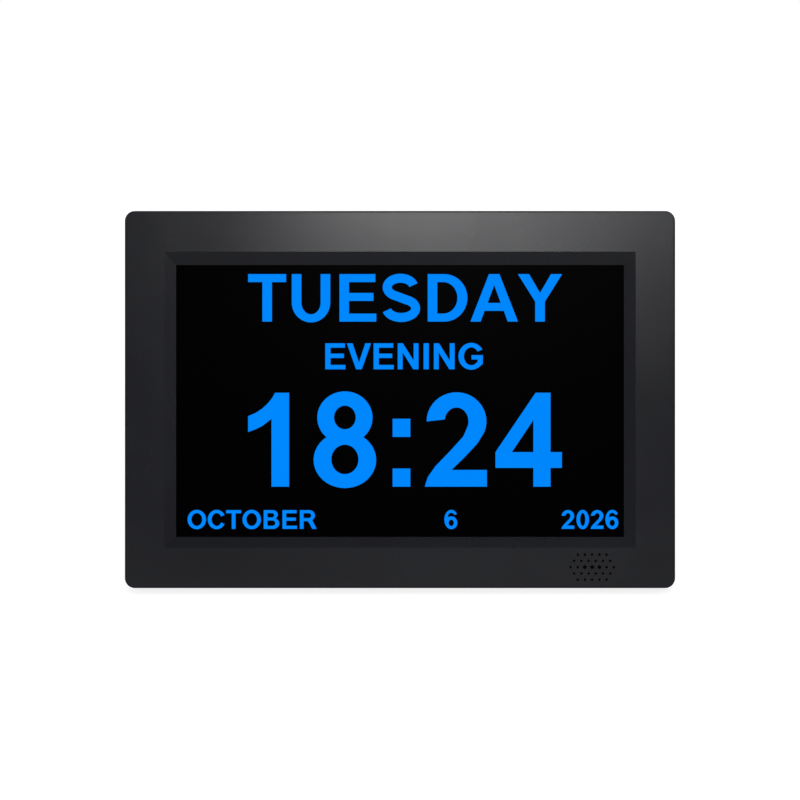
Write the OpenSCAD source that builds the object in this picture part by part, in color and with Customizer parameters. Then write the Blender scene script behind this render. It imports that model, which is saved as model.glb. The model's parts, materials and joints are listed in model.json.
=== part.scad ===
// Day clock with a wide screen, a fold-out stand leg and keyhole wall hooks.
// Housing frame before it leans: X right as seen from the front, Y from the face to the back, Z up.

/* [Screen window] */
// Width of the window that shows the screen
window_w = 179.2; // [150:0.2:216]
// Height of the window that shows the screen
window_h = 108.8; // [104:0.2:131]
// Depth of the sloped border from the face down to the screen
bevel_d = 3; // [2:0.1:3.6]
// Run of the sloped border at the left and right
bevel_side = 4.6; // [3:0.1:6]
// Run of the sloped border at the top
bevel_top = 5.3; // [3:0.1:6]
// Run of the sloped border at the bottom
bevel_bottom = 4.2; // [3:0.1:5]
// Rounding where the face turns into the sloped border
bevel_edge_r = 0.6; // [0.2:0.1:0.8]
// Flat edge at the foot of the sloped border
bevel_land = 0.4; // [0.2:0.1:0.6]

/* [Housing] */
// Face width from the window to the left or right edge
border_side = 20.4; // [19:0.1:26]
// Face height from the window to the top edge
border_top = 21.6; // [19:0.1:26]
// Face height from the window to the bottom edge
border_bottom = 20.4; // [20:0.1:26]
// Depth of the front bezel, back to the parting line
bezel_d = 9; // [8.8:0.1:9.6]
// Depth of the thin rim, front to back
rim_d = 14; // [13.5:0.1:15]
// Depth of the whole housing at its raised back
body_d = 27; // [26.5:0.1:33]
// Radius of the four outline corners
corner_r = 4; // [3.5:0.1:8]
// Rounding of the face's outer edge
face_edge_r = 0.8; // [0.4:0.1:1.4]
// Rounding of the rim's back edge
rim_edge_r = 1.5; // [0.8:0.1:2]
// Rounding of the raised back's edge
back_edge_r = 3; // [1:0.1:4]
// Corner radius of the raised back's outline
back_corner_r = 8; // [6:0.5:14]
// Rim width beside the raised back, left and right
rim_side = 12; // [11.5:0.1:14]
// Rim width above the raised back
rim_top = 14; // [13:0.1:18]
// Rim width below the raised back
rim_bottom = 5; // [4.5:0.1:7]
// Width and depth of the groove along the parting line
reveal = 0.3; // [0.2:0.1:0.5]
// Wall of both shells
wall = 2; // [1.6:0.1:2.4]
// Thickness of the face plate
face_t = 2.2; // [1.8:0.1:2.6]
// Angle that the housing leans back at on its stand
lean = 14; // [11:0.5:18]

/* [Stand] */
// Height of the stand's hinge above the bottom edge
hinge_h = 82; // [70:1:96]
// Width of the stand leg
leg_w = 44; // [30:1:56]
// Thickness of the stand leg
leg_t = 4.3; // [3.6:0.1:5]
// Radius of the leg's hinge barrel
barrel_r = 3.2; // [2.6:0.1:3.4]
// Radius of the steel hinge pin
pin_r = 1.25; // [1:0.05:1.6]
// Radius of the leg's lower corners
leg_corner_r = 6; // [2:0.5:12]
// Skin and rib thickness of the leg
leg_skin = 1.6; // [1.2:0.1:2]
// Width of the rubber foot
foot_w = 32; // [20:1:40]
// How far the rubber foot stands out of the leg's end
foot_out = 1.5; // [1.2:0.1:2.5]
// Distance of the folded foot above the housing's bottom edge
foot_clear = 1; // [0.5:0.1:3]
// Chamfer along the leg's two outer edges
leg_edge = 0.8; // [0.4:0.1:1.2]
// Number of finger grooves across the leg
groove_count = 5; // [1:1:7]

/* [Buttons] */
// Number of buttons in the row
button_count = 7; // [7:1:7]
// Distance between button centres
button_pitch = 10; // [9.2:0.1:12]
// Radius of a button cap
button_r = 3.5; // [2.5:0.1:3.8]
// How far a cap stands out of the back
button_out = 1.2; // [0.8:0.1:2]
// Travel of a button
button_travel = 0.5; // [0.3:0.1:0.6]
// Depth of the shallow pan that the button row lies in
pan_d = 0.5; // [0.3:0.1:0.8]
// Margin of the pan round the button caps
pan_margin = 1.8; // [1:0.1:2.4]
// Depth of the dish in a cap's top
dish_d = 0.3; // [0.1:0.05:0.4]

/* [Wall hooks] */
// Distance between the two keyholes
hook_spacing = 120; // [90:1:140]
// Radius of a keyhole's round entry
hook_r = 4.25; // [3.5:0.05:5]
// Half the width of a keyhole's slot
hook_slot_r = 2.1; // [1.5:0.05:2.2]
// Height from a keyhole's entry to the end of its slot
hook_rise = 8; // [7:0.1:11]

/* [Sound holes] */
// Distance between sound holes
sound_pitch = 2.88; // [2.4:0.02:3]
// Radius of the outer sound holes
sound_r = 0.5; // [0.3:0.05:0.7]
// Radius of the three middle sound holes
sound_mid_r = 0.75; // [0.5:0.05:0.9]

/* [Display module] */
// How far the display module reaches past the window, each side
module_lap = 3.9; // [3:0.1:4]
// Thickness of the foam gasket, pressed
gasket_t = 0.5; // [0.3:0.1:0.6]
// Thickness of one glass sheet
glass_t = 0.7; // [0.5:0.1:0.8]
// Thickness of the light guide
guide_t = 2.5; // [2:0.1:2.6]

/* [Hidden] */
$fn = 48;
eps = 0.01;

// Outline of the housing and of its raised back
body_w = window_w + 2 * border_side;
body_h = window_h + border_top + border_bottom;
window_z = border_bottom + window_h / 2;
back_w = body_w - 2 * rim_side;
back_h = body_h - rim_top - rim_bottom;
back_top = body_h - rim_top;
back_z = rim_bottom + back_h / 2;
back_inner = body_d - wall;
rim_inner = rim_d - wall;

// Joint between the two shells
lip_gap = 0.15;
lip_t = 1;
lip_h = 2;
lip_inset = wall + lip_gap;
catch_w = 10;
catch_out = 0.5;
catch_spread = [0.62, 0.28];
catch_y = bezel_d - lip_h + 0.7;
catch_d = 1;

// Fasteners
housing_screw = [1.3, 2.8, 2, 8];    // core radius, head radius, head height, length
bracket_screw = [1, 2.3, 1.5, 5];
board_screw = [1, 2.4, 1.5, 6];
key_screw = [0.9, 2, 1.2, 4];
screw_hole_gap = 0.3;
head_gap = 0.3;
head_sink = 2.4;
well_wall = 1;
boss_wall = 1.9;
pilot_extra = 0.5;
pilot_floor = 0.8;
screw_inset = lip_inset + lip_t + housing_screw[0] + boss_wall + lip_gap;
screw_up = screw_inset + 0.3;
screw_points = [
    for (sx = [-1, 1], z = [screw_up, body_h - screw_up]) [sx * (body_w / 2 - screw_inset), z],
    [0, body_h - screw_inset]
];

// Display module, front to back
module_gap = 0.3;
module_w = window_w + 2 * module_lap;
module_h = window_h + 2 * module_lap + 0.4;
can_t = 0.4;
frame_t = 1;
can_inner = can_t + 0.1;
stack_inset = can_inner + frame_t;
stack_w = module_w - 2 * stack_inset;
stack_h = module_h - 2 * stack_inset;
sheet_trim = 1;
cell_y = bevel_d + gasket_t;
polariser_t = 0.2;
films_t = 0.6;
reflector_t = 0.2;
filter_y = cell_y + polariser_t;
tft_y = filter_y + glass_t;
films_y = tft_y + glass_t;
guide_y = films_y + films_t;
reflector_y = guide_y + guide_t;
can_y = reflector_y + reflector_t + 0.1;
module_y1 = can_y + can_t;
ledge_h = 3.2;
led_h = 1.6;
led_count = 19;
led_size = [3.5, 1.6, 0.8];
led_tape_t = 0.4;
ribbon_w = 28;
ribbon_t = 0.2;
bracket_t = 1;
bracket_w = 12;
bracket_len = 14;
bracket_shift = 3.2;
bracket_boss_in = 10;
bracket_boss_r = 2.75;
bracket_spread = 35;
bracket_pilot_y = module_y1 + bracket_t - bracket_screw[3] - pilot_extra;
bracket_points = [for (sx = [-1, 1], sz = [-1, 1])
    [sx * (body_w / 2 - bracket_boss_in), window_z + sz * bracket_spread]];
rib_t = 1.2;
rib_len = 14;
rib_low = window_z - module_h / 2 - module_gap - rib_t;

// Stiffening inside the bezel: triangular gussets between the face and the walls, below the cover's lip
gusset_t = 1;
gusset_out = 5;
gusset_y = bezel_d - lip_h - lip_gap;
gusset_pitch = 22;
gusset_z = [0.13, 0.4, 0.6, 0.87];

// Stand hinge
recess_gap = 0.5;
recess_w = leg_w + 2 * recess_gap;
barrel_gap = 0.3;
leg_sink = 0.3;
leg_out = body_d - leg_sink;
finger_r = 12;
finger_dip = 1;
hinge_y = leg_out - barrel_r - 0.2;
recess_y = hinge_y - barrel_r - barrel_gap;
hinge_boss = [5, 10];                // reach past the recess wall, height
pin_gap = 0.05;
leg_in = hinge_y - (leg_out - leg_t);
leg_back = leg_out - hinge_y;
leg_len = hinge_h - foot_clear;
plate_len = leg_len - foot_out;
foot_t = leg_t - 1;
foot_depth = 5;
sole_trim = 0.6;
groove_r = 0.9;
groove_pitch = 3.2;
groove_low = foot_depth + 5;
finger_z = hinge_h - plate_len + groove_low + (groove_count - 1) / 2 * groove_pitch;
stop_gap = 0.1;
washer_t = 0.4;
washer_r = 2.8;

// Housing's place on the table: it rests on the rim's lower back edge and on the foot
function leaned_y(y, z) = y * cos(lean) + z * sin(lean);
function leaned_z(y, z) = z * cos(lean) - y * sin(lean);
rest_z = rim_edge_r - leaned_z(rim_d - rim_edge_r, rim_edge_r);
hinge_height = leaned_z(hinge_y, hinge_h) + rest_z;
foot_mid = (leg_back - leg_in) / 2;
sole_reach = norm([leg_len - sole_trim, foot_mid]);
leg_tilt = acos(hinge_height / sole_reach) - atan(foot_mid / (leg_len - sole_trim));
stand_open = leg_tilt + lean;
heel_len = (hinge_y - recess_y - stop_gap - leg_in * cos(stand_open)) / sin(stand_open);
recess_top = hinge_h + norm([heel_len, leg_back]) + 1;
front_most = (cos(lean) + sin(lean) - 1) * face_edge_r;
leg_most = leaned_y(hinge_y, hinge_h) + plate_len * sin(leg_tilt) + leg_back * cos(leg_tilt);
back_most = leaned_y(body_d - back_edge_r, back_top - back_edge_r) + back_edge_r;
rest_y = -(front_most + max(leg_most, back_most)) / 2;

// Buttons and key board
button_gap = 0.15;
flange_out = 0.8;
flange_t = 0.8;
flange_gap = 0.2;
switch_w = 6;
switch_h = 3.5;
plunger_r = 1.7;
plunger_gap = 0.1;
plunger_sunk = 0.8;
switch_bore_d = plunger_sunk + button_travel + 0.2;
key_board_t = 1.2;
key_board_h = 11;
key_end = 12;
key_inset = 0.3 * (back_corner_r - wall) + 0.4;
key_z = back_top - wall - key_inset - key_board_h / 2;
flange_y = back_inner - flange_gap - flange_t;
switch_y = flange_y - 1.7;
key_board_y = switch_y - switch_h;
key_x1 = back_w / 2 - wall - key_inset - key_end;
key_x0 = key_x1 - (button_count - 1) * button_pitch;
key_hole_in = 3.5;
key_holes = [key_x0 - key_end + key_hole_in, key_x1 + key_end - key_hole_in];

// Main board and what it carries; its left end follows the sockets at the left wall
board_y0 = 14.4;
board_t = 1.6;
board_y1 = board_y0 + board_t;
board_x0 = -back_w / 2 + wall + 1;
board_x1 = key_x0 - key_end - 4;
board_z1 = back_top - wall - 0.7 * (back_corner_r - wall) - 0.6;
board_h = 90;
board_z0 = board_z1 - board_h;
board_boss_r = 3;
board_holes = [
    [board_x0 + 5, board_z1 - 6],
    [board_x0 + 5, board_z1 - 56.5],
    [board_x1 - 6, board_z1 - 26],
    [board_x0 + 31, board_z0 + 6]
];
usb_z = board_z1 - 46;
usb_size = [14, 5.7, 13.2];
usb_wall = 0.4;
tongue_size = [9, 1.8, 11.1];
card_z = board_z1 - 74;
card_size = [27, 2.9, 27.2];
card_slot = [24.6, 2.1];
jack_z = board_z1 - 28;
jack_size = [12, 7, 7.2];
jack_nose_r = 3.1;
jack_bore_r = 1.9;
jack_bore_d = 9;
jack_pin_r = 0.65;
port_gap = 0.3;
port_rim = 0.8;
port_inset = 0.5;
port_x = -back_w / 2 + port_inset;
cell_r = 10;
cell_t = 3.2;
cell_floor = 0.8;
cell_at = [board_x0 + 43, board_z0 + 20];
chip_leg_profile = [
    [-0.2, 0.4], [0.15, 0.4], [0.35, 0], [0.8, 0],
    [0.8, 0.16], [0.45, 0.16], [0.25, 0.56], [-0.2, 0.56]
];
chip_leg_w = 0.4;
ribbon_x = board_x1 - 30;
zif_size = [32, 2, 5];
zif_z = board_z0 + 4;
header_size = [8, 2.6, 5];
key_ribbon_w = 3.2;
key_ribbon_t = 0.8;
key_ribbon_z = key_z - key_board_h / 2 + header_size[2] / 2 + 0.3;

// Vents and wall hooks
vent_count = 10;
vent_pitch = 5;
vent_size = [2, 15];
vent_points = [[-back_w / 2 + 46, back_top - 16], [back_w / 2 - 46, rim_bottom + 24]];
hook_z = back_top - 36.8;
hook_wall = 1.2;
hook_wall_gap = 1.2;
hook_wall_h = 3;
stiffener_h = 1.5;
stiffener_drop = 36;

// Speaker behind the sound holes
sound_x = body_w / 2 - 33.2;
sound_z = 8.4;
sound_rows = 2;
sound_row_len = 7;
speaker_size = [18, 12];
speaker_z = (wall + rib_low) / 2;
speaker_corner_r = 4;
speaker_seal_t = 0.5;
speaker_y = face_t + speaker_seal_t;
speaker_t = 3.9;
speaker_rim = 1.2;
magnet_r = 4.5;
magnet_t = 2.4;
wire_d = 1.2;
wire_gap = 0.2;
// Route of the speaker lead behind the display, from the speaker to the main board
lead_route = [
    [sound_x + 8, 7.2, speaker_z],
    [sound_x + 11, 8, speaker_z + 2],
    [sound_x + 13, 10.6, speaker_z + 7],
    [sound_x + 10, 11.2, speaker_z + 18],
    [sound_x - 8, 11.2, speaker_z + 27],
    [(sound_x + board_x1) / 2, 11.4, board_z0 + 12],
    [board_x1 + 8, 12, board_z0 + 17],
    [board_x1 - 1, 13.2, board_z0 + 18],
    [board_x1 - 5, 13.8, board_z0 + 18]
];

black_plastic = "#26272a";
grained_plastic = "#1f2022";
steel = "#a9adb0";
board_green = "#1f5a3a";
chip_black = "#17181a";
socket_black = "#222326";

// ---- Placing ----

// The housing's own frame, leaned back onto the table
module housing() {
    translate([0, rest_y, rest_z]) rotate([-lean, 0, 0]) children();
}

// A 2D shape in X and Z, drawn from y0 back to y1
module slab(y0, y1) {
    translate([0, y1, 0]) rotate([90, 0, 0]) linear_extrude(y1 - y0) children();
}

// A 2D shape in Y and Z, drawn from x0 to x1
module bar(x0, x1) {
    translate([x0, 0, 0]) rotate([90, 0, 90]) linear_extrude(x1 - x0) children();
}

// A cylinder along Y from y0 to y1
module post(x, z, r, y0, y1) {
    translate([x, y1, z]) rotate([90, 0, 0]) cylinder(r = r, h = y1 - y0);
}

// A cylinder along X from x0 to x1
module axle(y, z, r, x0, x1) {
    translate([x0, y, z]) rotate([0, 90, 0]) cylinder(r = r, h = x1 - x0);
}

// A block from its low corner to its high corner
module block(low, high) {
    translate(low) cube(high - low);
}

// ---- Shared shapes ----

module rounded_rect(w, h, r) {
    square([w - 2 * r, h], center = true);
    square([w, h - 2 * r], center = true);
    for (sx = [-1, 1], sy = [-1, 1]) translate([sx * (w / 2 - r), sy * (h / 2 - r)]) circle(r);
}

module ring_2d(w, h, r, t) {
    difference() {
        rounded_rect(w, h, r);
        rounded_rect(w - 2 * t, h - 2 * t, max(r - t, 0.2));
    }
}

module quarter_disc(r) {
    intersection() {
        circle(r);
        square(r);
    }
}

// A plate of thickness t with its top edge rounded all round
module soft_plate(w, h, t, corner, edge) {
    linear_extrude(t - edge) rounded_rect(w, h, corner);
    translate([0, 0, t - edge]) {
        linear_extrude(edge) rounded_rect(w - 2 * edge, h - 2 * edge, corner - edge);
        for (s = [0, 180]) rotate(s) {
            translate([w / 2 - edge, h / 2 - corner, 0]) rotate([90, 0, 0])
                linear_extrude(h - 2 * corner) quarter_disc(edge);
            translate([corner - w / 2, h / 2 - edge, 0]) rotate([90, 0, 90])
                linear_extrude(w - 2 * corner) quarter_disc(edge);
            translate([w / 2 - corner, h / 2 - corner, 0])
                rotate_extrude(angle = 90) translate([corner - edge, 0]) quarter_disc(edge);
            translate([corner - w / 2, h / 2 - corner, 0]) rotate(90)
                rotate_extrude(angle = 90) translate([corner - edge, 0]) quarter_disc(edge);
        }
    }
}

// Pan head screw whose head's seat is at y, driven forward into the face (dir -1) or backward (dir 1)
module screw(x, z, y, size, dir) {
    translate([x, y, z]) rotate([-90 * dir, 0, 0]) {
        difference() {
            union() {
                translate([0, 0, -size[2] * 0.6]) cylinder(r = size[1], h = size[2] * 0.6);
                translate([0, 0, -size[2]]) cylinder(r1 = size[1] * 0.8, r2 = size[1], h = size[2] * 0.4);
            }
            for (a = [0, 90]) rotate(a) translate([-size[1] * 0.55, -0.3, -size[2] - eps])
                cube([size[1] * 1.1, 0.6, size[2] * 0.55]);
        }
        cylinder(r = size[0], h = size[3] - 0.6);
        translate([0, 0, size[3] - 0.6]) cylinder(r1 = size[0], r2 = size[0] * 0.4, h = 0.6);
    }
}

// Outline of a strip of thickness t that follows a 2D path
function side_of(path, i) =
    let (a = path[max(i - 1, 0)], b = path[min(i + 1, len(path) - 1)], d = b - a)
    [-d[1], d[0]] / norm(d);
function strip_outline(path, t) = concat(
    [for (i = [0 : len(path) - 1]) path[i] + side_of(path, i) * t / 2],
    [for (i = [len(path) - 1 : -1 : 0]) path[i] - side_of(path, i) * t / 2]
);
function arc_points(centre, r, from, to, steps) =
    [for (i = [0 : steps]) let (a = from + (to - from) * i / steps) centre + r * [cos(a), sin(a)]];

// Smooth tube of diameter d along a route of points
function curve_point(p, i, t) =
    let (a = p[max(i - 1, 0)], b = p[i], c = p[i + 1], e = p[min(i + 2, len(p) - 1)])
    0.5 * (2 * b + (c - a) * t + (2 * a - 5 * b + 4 * c - e) * t * t + (3 * b - a - 3 * c + e) * t * t * t);
function smooth_route(p, steps) = concat(
    [for (i = [0 : len(p) - 2], k = [0 : steps - 1]) curve_point(p, i, k / steps)],
    [p[len(p) - 1]]
);
function unit(v) = v / norm(v);
function ring_points(route, i, r, sides) =
    let (
        d = unit(route[min(i + 1, len(route) - 1)] - route[max(i - 1, 0)]),
        u = unit(cross(d, [0.12, 1, 0.05])),
        v = cross(d, u)
    )
    [for (k = [0 : sides - 1]) route[i] + r * (cos(360 * k / sides) * u + sin(360 * k / sides) * v)];

module tube(route, d, sides) {
    rings = len(route);
    points = [for (i = [0 : rings - 1]) each ring_points(route, i, d / 2, sides)];
    walls = [
        for (i = [0 : rings - 2], k = [0 : sides - 1])
            let (a = i * sides + k, b = i * sides + (k + 1) % sides)
            each [[a, a + sides, b], [b, a + sides, b + sides]]
    ];
    caps = [
        for (k = [1 : sides - 2])
            each [[0, k, k + 1], [(rings - 1) * sides, (rings - 1) * sides + k + 1, (rings - 1) * sides + k]]
    ];
    polyhedron(points, concat(walls, caps));
}

// ---- Front bezel ----

// Half profile of the window's border: distance out from the window's edge, and depth
function border_profile(run) =
    let (
        drop = bevel_d - bevel_land,
        slope = atan(drop / run),
        turn = bevel_edge_r * tan(slope / 2),
        steps = 4
    )
    concat(
        [[run + turn, -1]],
        [for (i = [0 : steps]) let (a = slope * i / steps)
            [run + turn - bevel_edge_r * sin(a), bevel_edge_r * (1 - cos(a))]],
        [[0, drop], [0, bevel_d + 1]]
    );
function backwards(list) = [for (i = [len(list) - 1 : -1 : 0]) list[i]];

// The window's four sloped sides, which meet at mitred corners
module window_cut() {
    side = border_profile(bevel_side);
    intersection() {
        translate([0, 0, window_z - body_h]) linear_extrude(2 * body_h) polygon(concat(
            [for (p = side) [window_w / 2 + p[0], p[1]]],
            [for (p = backwards(side)) [-window_w / 2 - p[0], p[1]]]
        ));
        bar(-body_w, body_w) polygon(concat(
            [for (p = border_profile(bevel_top)) [p[1], window_z + window_h / 2 + p[0]]],
            [for (p = backwards(border_profile(bevel_bottom))) [p[1], window_z - window_h / 2 - p[0]]]
        ));
    }
}

module sound_holes() {
    for (row = [-sound_rows : sound_rows]) {
        holes = sound_row_len - abs(row);
        for (i = [0 : holes - 1]) {
            across = i - (holes - 1) / 2;
            post(sound_x + across * sound_pitch, sound_z + row * sound_pitch * sin(60),
                row == 0 && abs(across) <= 1 ? sound_mid_r : sound_r, -1, face_t + 1);
        }
    }
}

// Ribs that hold the display module at its corners
module locating_ribs() {
    depth = can_y - face_t + eps;
    for (sx = [-1, 1], sz = [-1, 1]) {
        x = sx * (module_w / 2 + module_gap + rib_t / 2);
        z = window_z + sz * (module_h / 2 + module_gap + rib_t / 2);
        translate([x, (face_t + can_y) / 2, z]) {
            translate([0, 0, -sz * rib_len / 2]) cube([rib_t, depth, rib_len + rib_t], center = true);
            translate([-sx * rib_len / 2, 0, 0]) cube([rib_len + rib_t, depth, rib_t], center = true);
        }
    }
}

module speaker_ribs() {
    translate([sound_x, 0, speaker_z]) slab(face_t - eps, face_t + 2.4) intersection() {
        ring_2d(speaker_size[0] + 2.3, speaker_size[1] + 2.3, speaker_corner_r + 1.15, 1);
        union() for (s = [-1, 1]) translate([s * (speaker_size[0] + 2.3) / 2, 0])
            square([9, speaker_size[1] * 0.7], center = true);
    }
}

module catch_pockets() {
    for (s = [-1, 1], i = [0, 1]) {
        x = s * catch_spread[i] * body_w / 2;
        z = i == 0 ? wall : body_h - wall;
        block([x - catch_w / 2 - 0.3, catch_y - 0.15, z - catch_out - 0.2],
              [x + catch_w / 2 + 0.3, catch_y + catch_d + 0.15, z + catch_out + 0.2]);
    }
}

// Triangular gusset in the plane across X at x, from the wall at z inwards (in = 1 or -1)
module gusset(x, z, in) {
    bar(x - gusset_t / 2, x + gusset_t / 2) polygon([
        [face_t - eps, z - in * eps], [face_t - eps, z + in * gusset_out],
        [face_t + 0.8, z + in * gusset_out], [gusset_y, z + in * 0.8], [gusset_y, z - in * eps]
    ]);
}

module wall_gussets() {
    count = floor((body_w / 2 - 2 * screw_inset) / gusset_pitch);
    for (i = [-count : count]) {
        x = i * gusset_pitch;
        if (i != 0) gusset(x, body_h - wall, -1);
        if (abs(x - sound_x) > speaker_size[0] / 2 + 3) gusset(x, wall, 1);
    }
    for (s = [-1, 1], f = gusset_z)
        translate([s * (body_w / 2 - wall), 0, f * body_h]) rotate([0, -s * 90, 0]) gusset(0, 0, 1);
}

// Fins that tie each screw post to the walls next to it
module post_fins() {
    reach = screw_inset - wall / 2;
    for (p = screw_points) translate([p[0], 0, p[1]]) {
        up = p[1] > body_h / 2 ? 1 : -1;
        slab(face_t - eps, gusset_y) translate([0, up * reach / 2]) square([rib_t, reach], center = true);
        if (p[0] != 0) slab(face_t - eps, gusset_y)
            translate([sign(p[0]) * reach / 2, 0]) square([reach, rib_t], center = true);
    }
}

module front_bezel() color(black_plastic) housing() difference() {
    union() {
        difference() {
            union() {
                translate([0, bezel_d - reveal, body_h / 2]) rotate([90, 0, 0])
                    soft_plate(body_w, body_h, bezel_d - reveal, corner_r, face_edge_r);
                translate([0, 0, body_h / 2]) slab(bezel_d - reveal - eps, bezel_d)
                    rounded_rect(body_w - 2 * reveal, body_h - 2 * reveal, corner_r - reveal);
            }
            translate([0, 0, body_h / 2]) slab(face_t, bezel_d + 1)
                rounded_rect(body_w - 2 * wall, body_h - 2 * wall, corner_r - wall);
        }
        wall_gussets();
        post_fins();
        translate([0, 0, window_z]) slab(face_t - eps, bevel_d)
            square([window_w + 2 * bevel_side + 2, window_h + 2 * bevel_bottom + 2], center = true);
        for (p = screw_points)
            post(p[0], p[1], housing_screw[0] + boss_wall, face_t - eps, bezel_d - lip_gap);
        for (p = bracket_points) post(p[0], p[1], bracket_boss_r, face_t - eps, module_y1);
        locating_ribs();
        speaker_ribs();
    }
    window_cut();
    sound_holes();
    for (p = screw_points) post(p[0], p[1], housing_screw[0], face_t + pilot_floor, bezel_d + 1);
    for (p = bracket_points)
        post(p[0], p[1], bracket_screw[0], bracket_pilot_y, module_y1 + 1);
    catch_pockets();
}

// ---- Rear cover ----

module cover_shell() {
    difference() {
        union() {
            translate([0, bezel_d, body_h / 2]) rotate([-90, 0, 0])
                soft_plate(body_w, body_h, rim_d - bezel_d, corner_r, rim_edge_r);
            translate([0, rim_inner, back_z]) rotate([-90, 0, 0])
                soft_plate(back_w, back_h, body_d - rim_inner, back_corner_r, back_edge_r);
            translate([0, 0, body_h / 2]) slab(bezel_d - lip_h, bezel_d + eps)
                rounded_rect(body_w - 2 * lip_inset, body_h - 2 * lip_inset, corner_r - wall);
        }
        translate([0, 0, body_h / 2]) slab(bezel_d - lip_h - 1, rim_inner)
            rounded_rect(body_w - 2 * (lip_inset + lip_t), body_h - 2 * (lip_inset + lip_t), 1);
        translate([0, 0, back_z]) slab(rim_inner - 1, back_inner)
            rounded_rect(back_w - 2 * wall, back_h - 2 * wall, back_corner_r - wall);
    }
}

module catches() {
    for (s = [-1, 1], i = [0, 1]) {
        x = s * catch_spread[i] * body_w / 2;
        z = i == 0 ? lip_inset : body_h - lip_inset;
        out = i == 0 ? -1 : 1;
        bar(x - catch_w / 2, x + catch_w / 2) polygon([
            [catch_y, z - out * 0.2], [catch_y, z],
            [catch_y + catch_d / 2, z + out * catch_out], [catch_y + catch_d, z + out * catch_out],
            [catch_y + catch_d, z - out * 0.2]
        ]);
    }
}

module keyhole(x) {
    post(x, hook_z, hook_r, back_inner - 1, body_d + 1);
    post(x, hook_z + hook_rise, hook_slot_r, back_inner - 1, body_d + 1);
    block([x - hook_slot_r, back_inner - 1, hook_z], [x + hook_slot_r, body_d + 1, hook_z + hook_rise]);
}

module vents() {
    for (p = vent_points, i = [0 : vent_count - 1]) {
        translate([p[0] + (i - (vent_count - 1) / 2) * vent_pitch, 0, p[1]])
            slab(back_inner - 1, body_d + 1)
                rounded_rect(vent_size[0], vent_size[1], vent_size[0] / 2 - 0.1);
    }
}

// A slot shape with round ends, from its lower end's centre up
module slot_2d(r, rise) {
    circle(r);
    translate([0, rise]) circle(r);
    translate([-r, 0]) square([2 * r, rise]);
}

// Rib round the slot and entry of a keyhole, which keeps a screw's head off the boards
module keyhole_wall(x) {
    r = hook_r + hook_wall_gap;
    translate([x, 0, hook_z]) slab(back_inner - hook_wall_h, back_inner + eps) difference() {
        slot_2d(r + hook_wall, hook_rise);
        slot_2d(r, hook_rise);
    }
}

// Low ribs on the inside of the back, level with the hinge and below it, and under the keyholes
module stiffeners() {
    low = hinge_h - stiffener_drop;
    long = (back_w - wall - recess_w) / 2;
    tall = hook_z - hook_r - hook_wall_gap - hook_wall / 2 - low;
    for (s = [-1, 1]) slab(back_inner - stiffener_h, back_inner + eps) {
        for (z = [low, hinge_h])
            translate([s * (recess_w + long) / 2, z]) square([long, rib_t], center = true);
        translate([s * hook_spacing / 2, low + tall / 2]) square([rib_t, tall], center = true);
    }
}

// Shallow pan round the button row
module button_pan() {
    r = button_r + pan_margin;
    translate([(key_x0 + key_x1) / 2, 0, key_z]) slab(body_d - pan_d, body_d + 1)
        rounded_rect(key_x1 - key_x0 + 2 * r, 2 * r, r - 0.5);
}

// Dips beside the folded leg, for a finger and thumb
module finger_dips() {
    for (s = [-1, 1])
        translate([s * recess_w / 2, body_d + finger_r - finger_dip, finger_z]) sphere(r = finger_r);
}

// Windows in the left wall for the power jack, the USB socket and the memory card, each in a shallow rim
module port_cuts() {
    outside = -back_w / 2 - 1;
    inside = -back_w / 2 + wall + 1;
    floor_x = -back_w / 2 + port_inset - 0.1;
    rim = port_gap + port_rim;
    axle(board_y1 + jack_size[1] / 2, jack_z, jack_nose_r + rim, outside, floor_x);
    socket_block(usb_z, usb_size, -rim, outside, floor_x);
    socket_block(card_z, card_size, -rim, outside, floor_x);
    axle(board_y1 + jack_size[1] / 2, jack_z, jack_nose_r + port_gap, outside, inside);
    socket_block(usb_z, usb_size, -port_gap, outside, inside);
    socket_block(card_z, card_size, -port_gap, outside, inside);
}

module recess_block() {
    block([-recess_w / 2 - wall, recess_y - wall, rim_bottom + 1],
          [recess_w / 2 + wall, body_d - 1, recess_top + wall]);
    for (s = [-1, 1])
        translate([s * (recess_w + hinge_boss[0]) / 2, (recess_y - wall + back_inner) / 2, hinge_h])
            cube([hinge_boss[0] + eps, back_inner - recess_y + wall + eps, hinge_boss[1]], center = true);
}

module rear_cover() color(grained_plastic) housing() difference() {
    union() {
        cover_shell();
        catches();
        recess_block();
        stiffeners();
        for (s = [-1, 1]) keyhole_wall(s * hook_spacing / 2);
        for (p = screw_points)
            post(p[0], p[1], housing_screw[1] + head_gap + well_wall, bezel_d, rim_inner + eps);
        for (p = board_holes) post(p[0], p[1], board_boss_r, board_y1, back_inner + eps);
        for (x = key_holes) post(x, key_z, key_screw[0] + boss_wall, key_board_y, back_inner + eps);
    }
    block([-recess_w / 2, recess_y, -1], [recess_w / 2, body_d + 1, recess_top]);
    axle(hinge_y, hinge_h, pin_r, -recess_w / 2 - hinge_boss[0] - 1, recess_w / 2 + hinge_boss[0] + 1);
    for (p = screw_points) {
        post(p[0], p[1], housing_screw[0] + screw_hole_gap, bezel_d - 1, rim_d + 1);
        post(p[0], p[1], housing_screw[1] + head_gap, rim_d - head_sink, rim_d + 1);
    }
    for (p = board_holes)
        post(p[0], p[1], board_screw[0], board_y1 - 1, board_y0 + board_screw[3] + pilot_extra);
    for (x = key_holes)
        post(x, key_z, key_screw[0], key_board_y - 1, key_board_y - key_board_t + key_screw[3] + pilot_extra);
    for (i = [0 : button_count - 1])
        post(key_x0 + i * button_pitch, key_z, button_r + button_gap, back_inner - 1, body_d + 1);
    for (s = [-1, 1]) keyhole(s * hook_spacing / 2);
    vents();
    port_cuts();
    button_pan();
    finger_dips();
}

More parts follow.
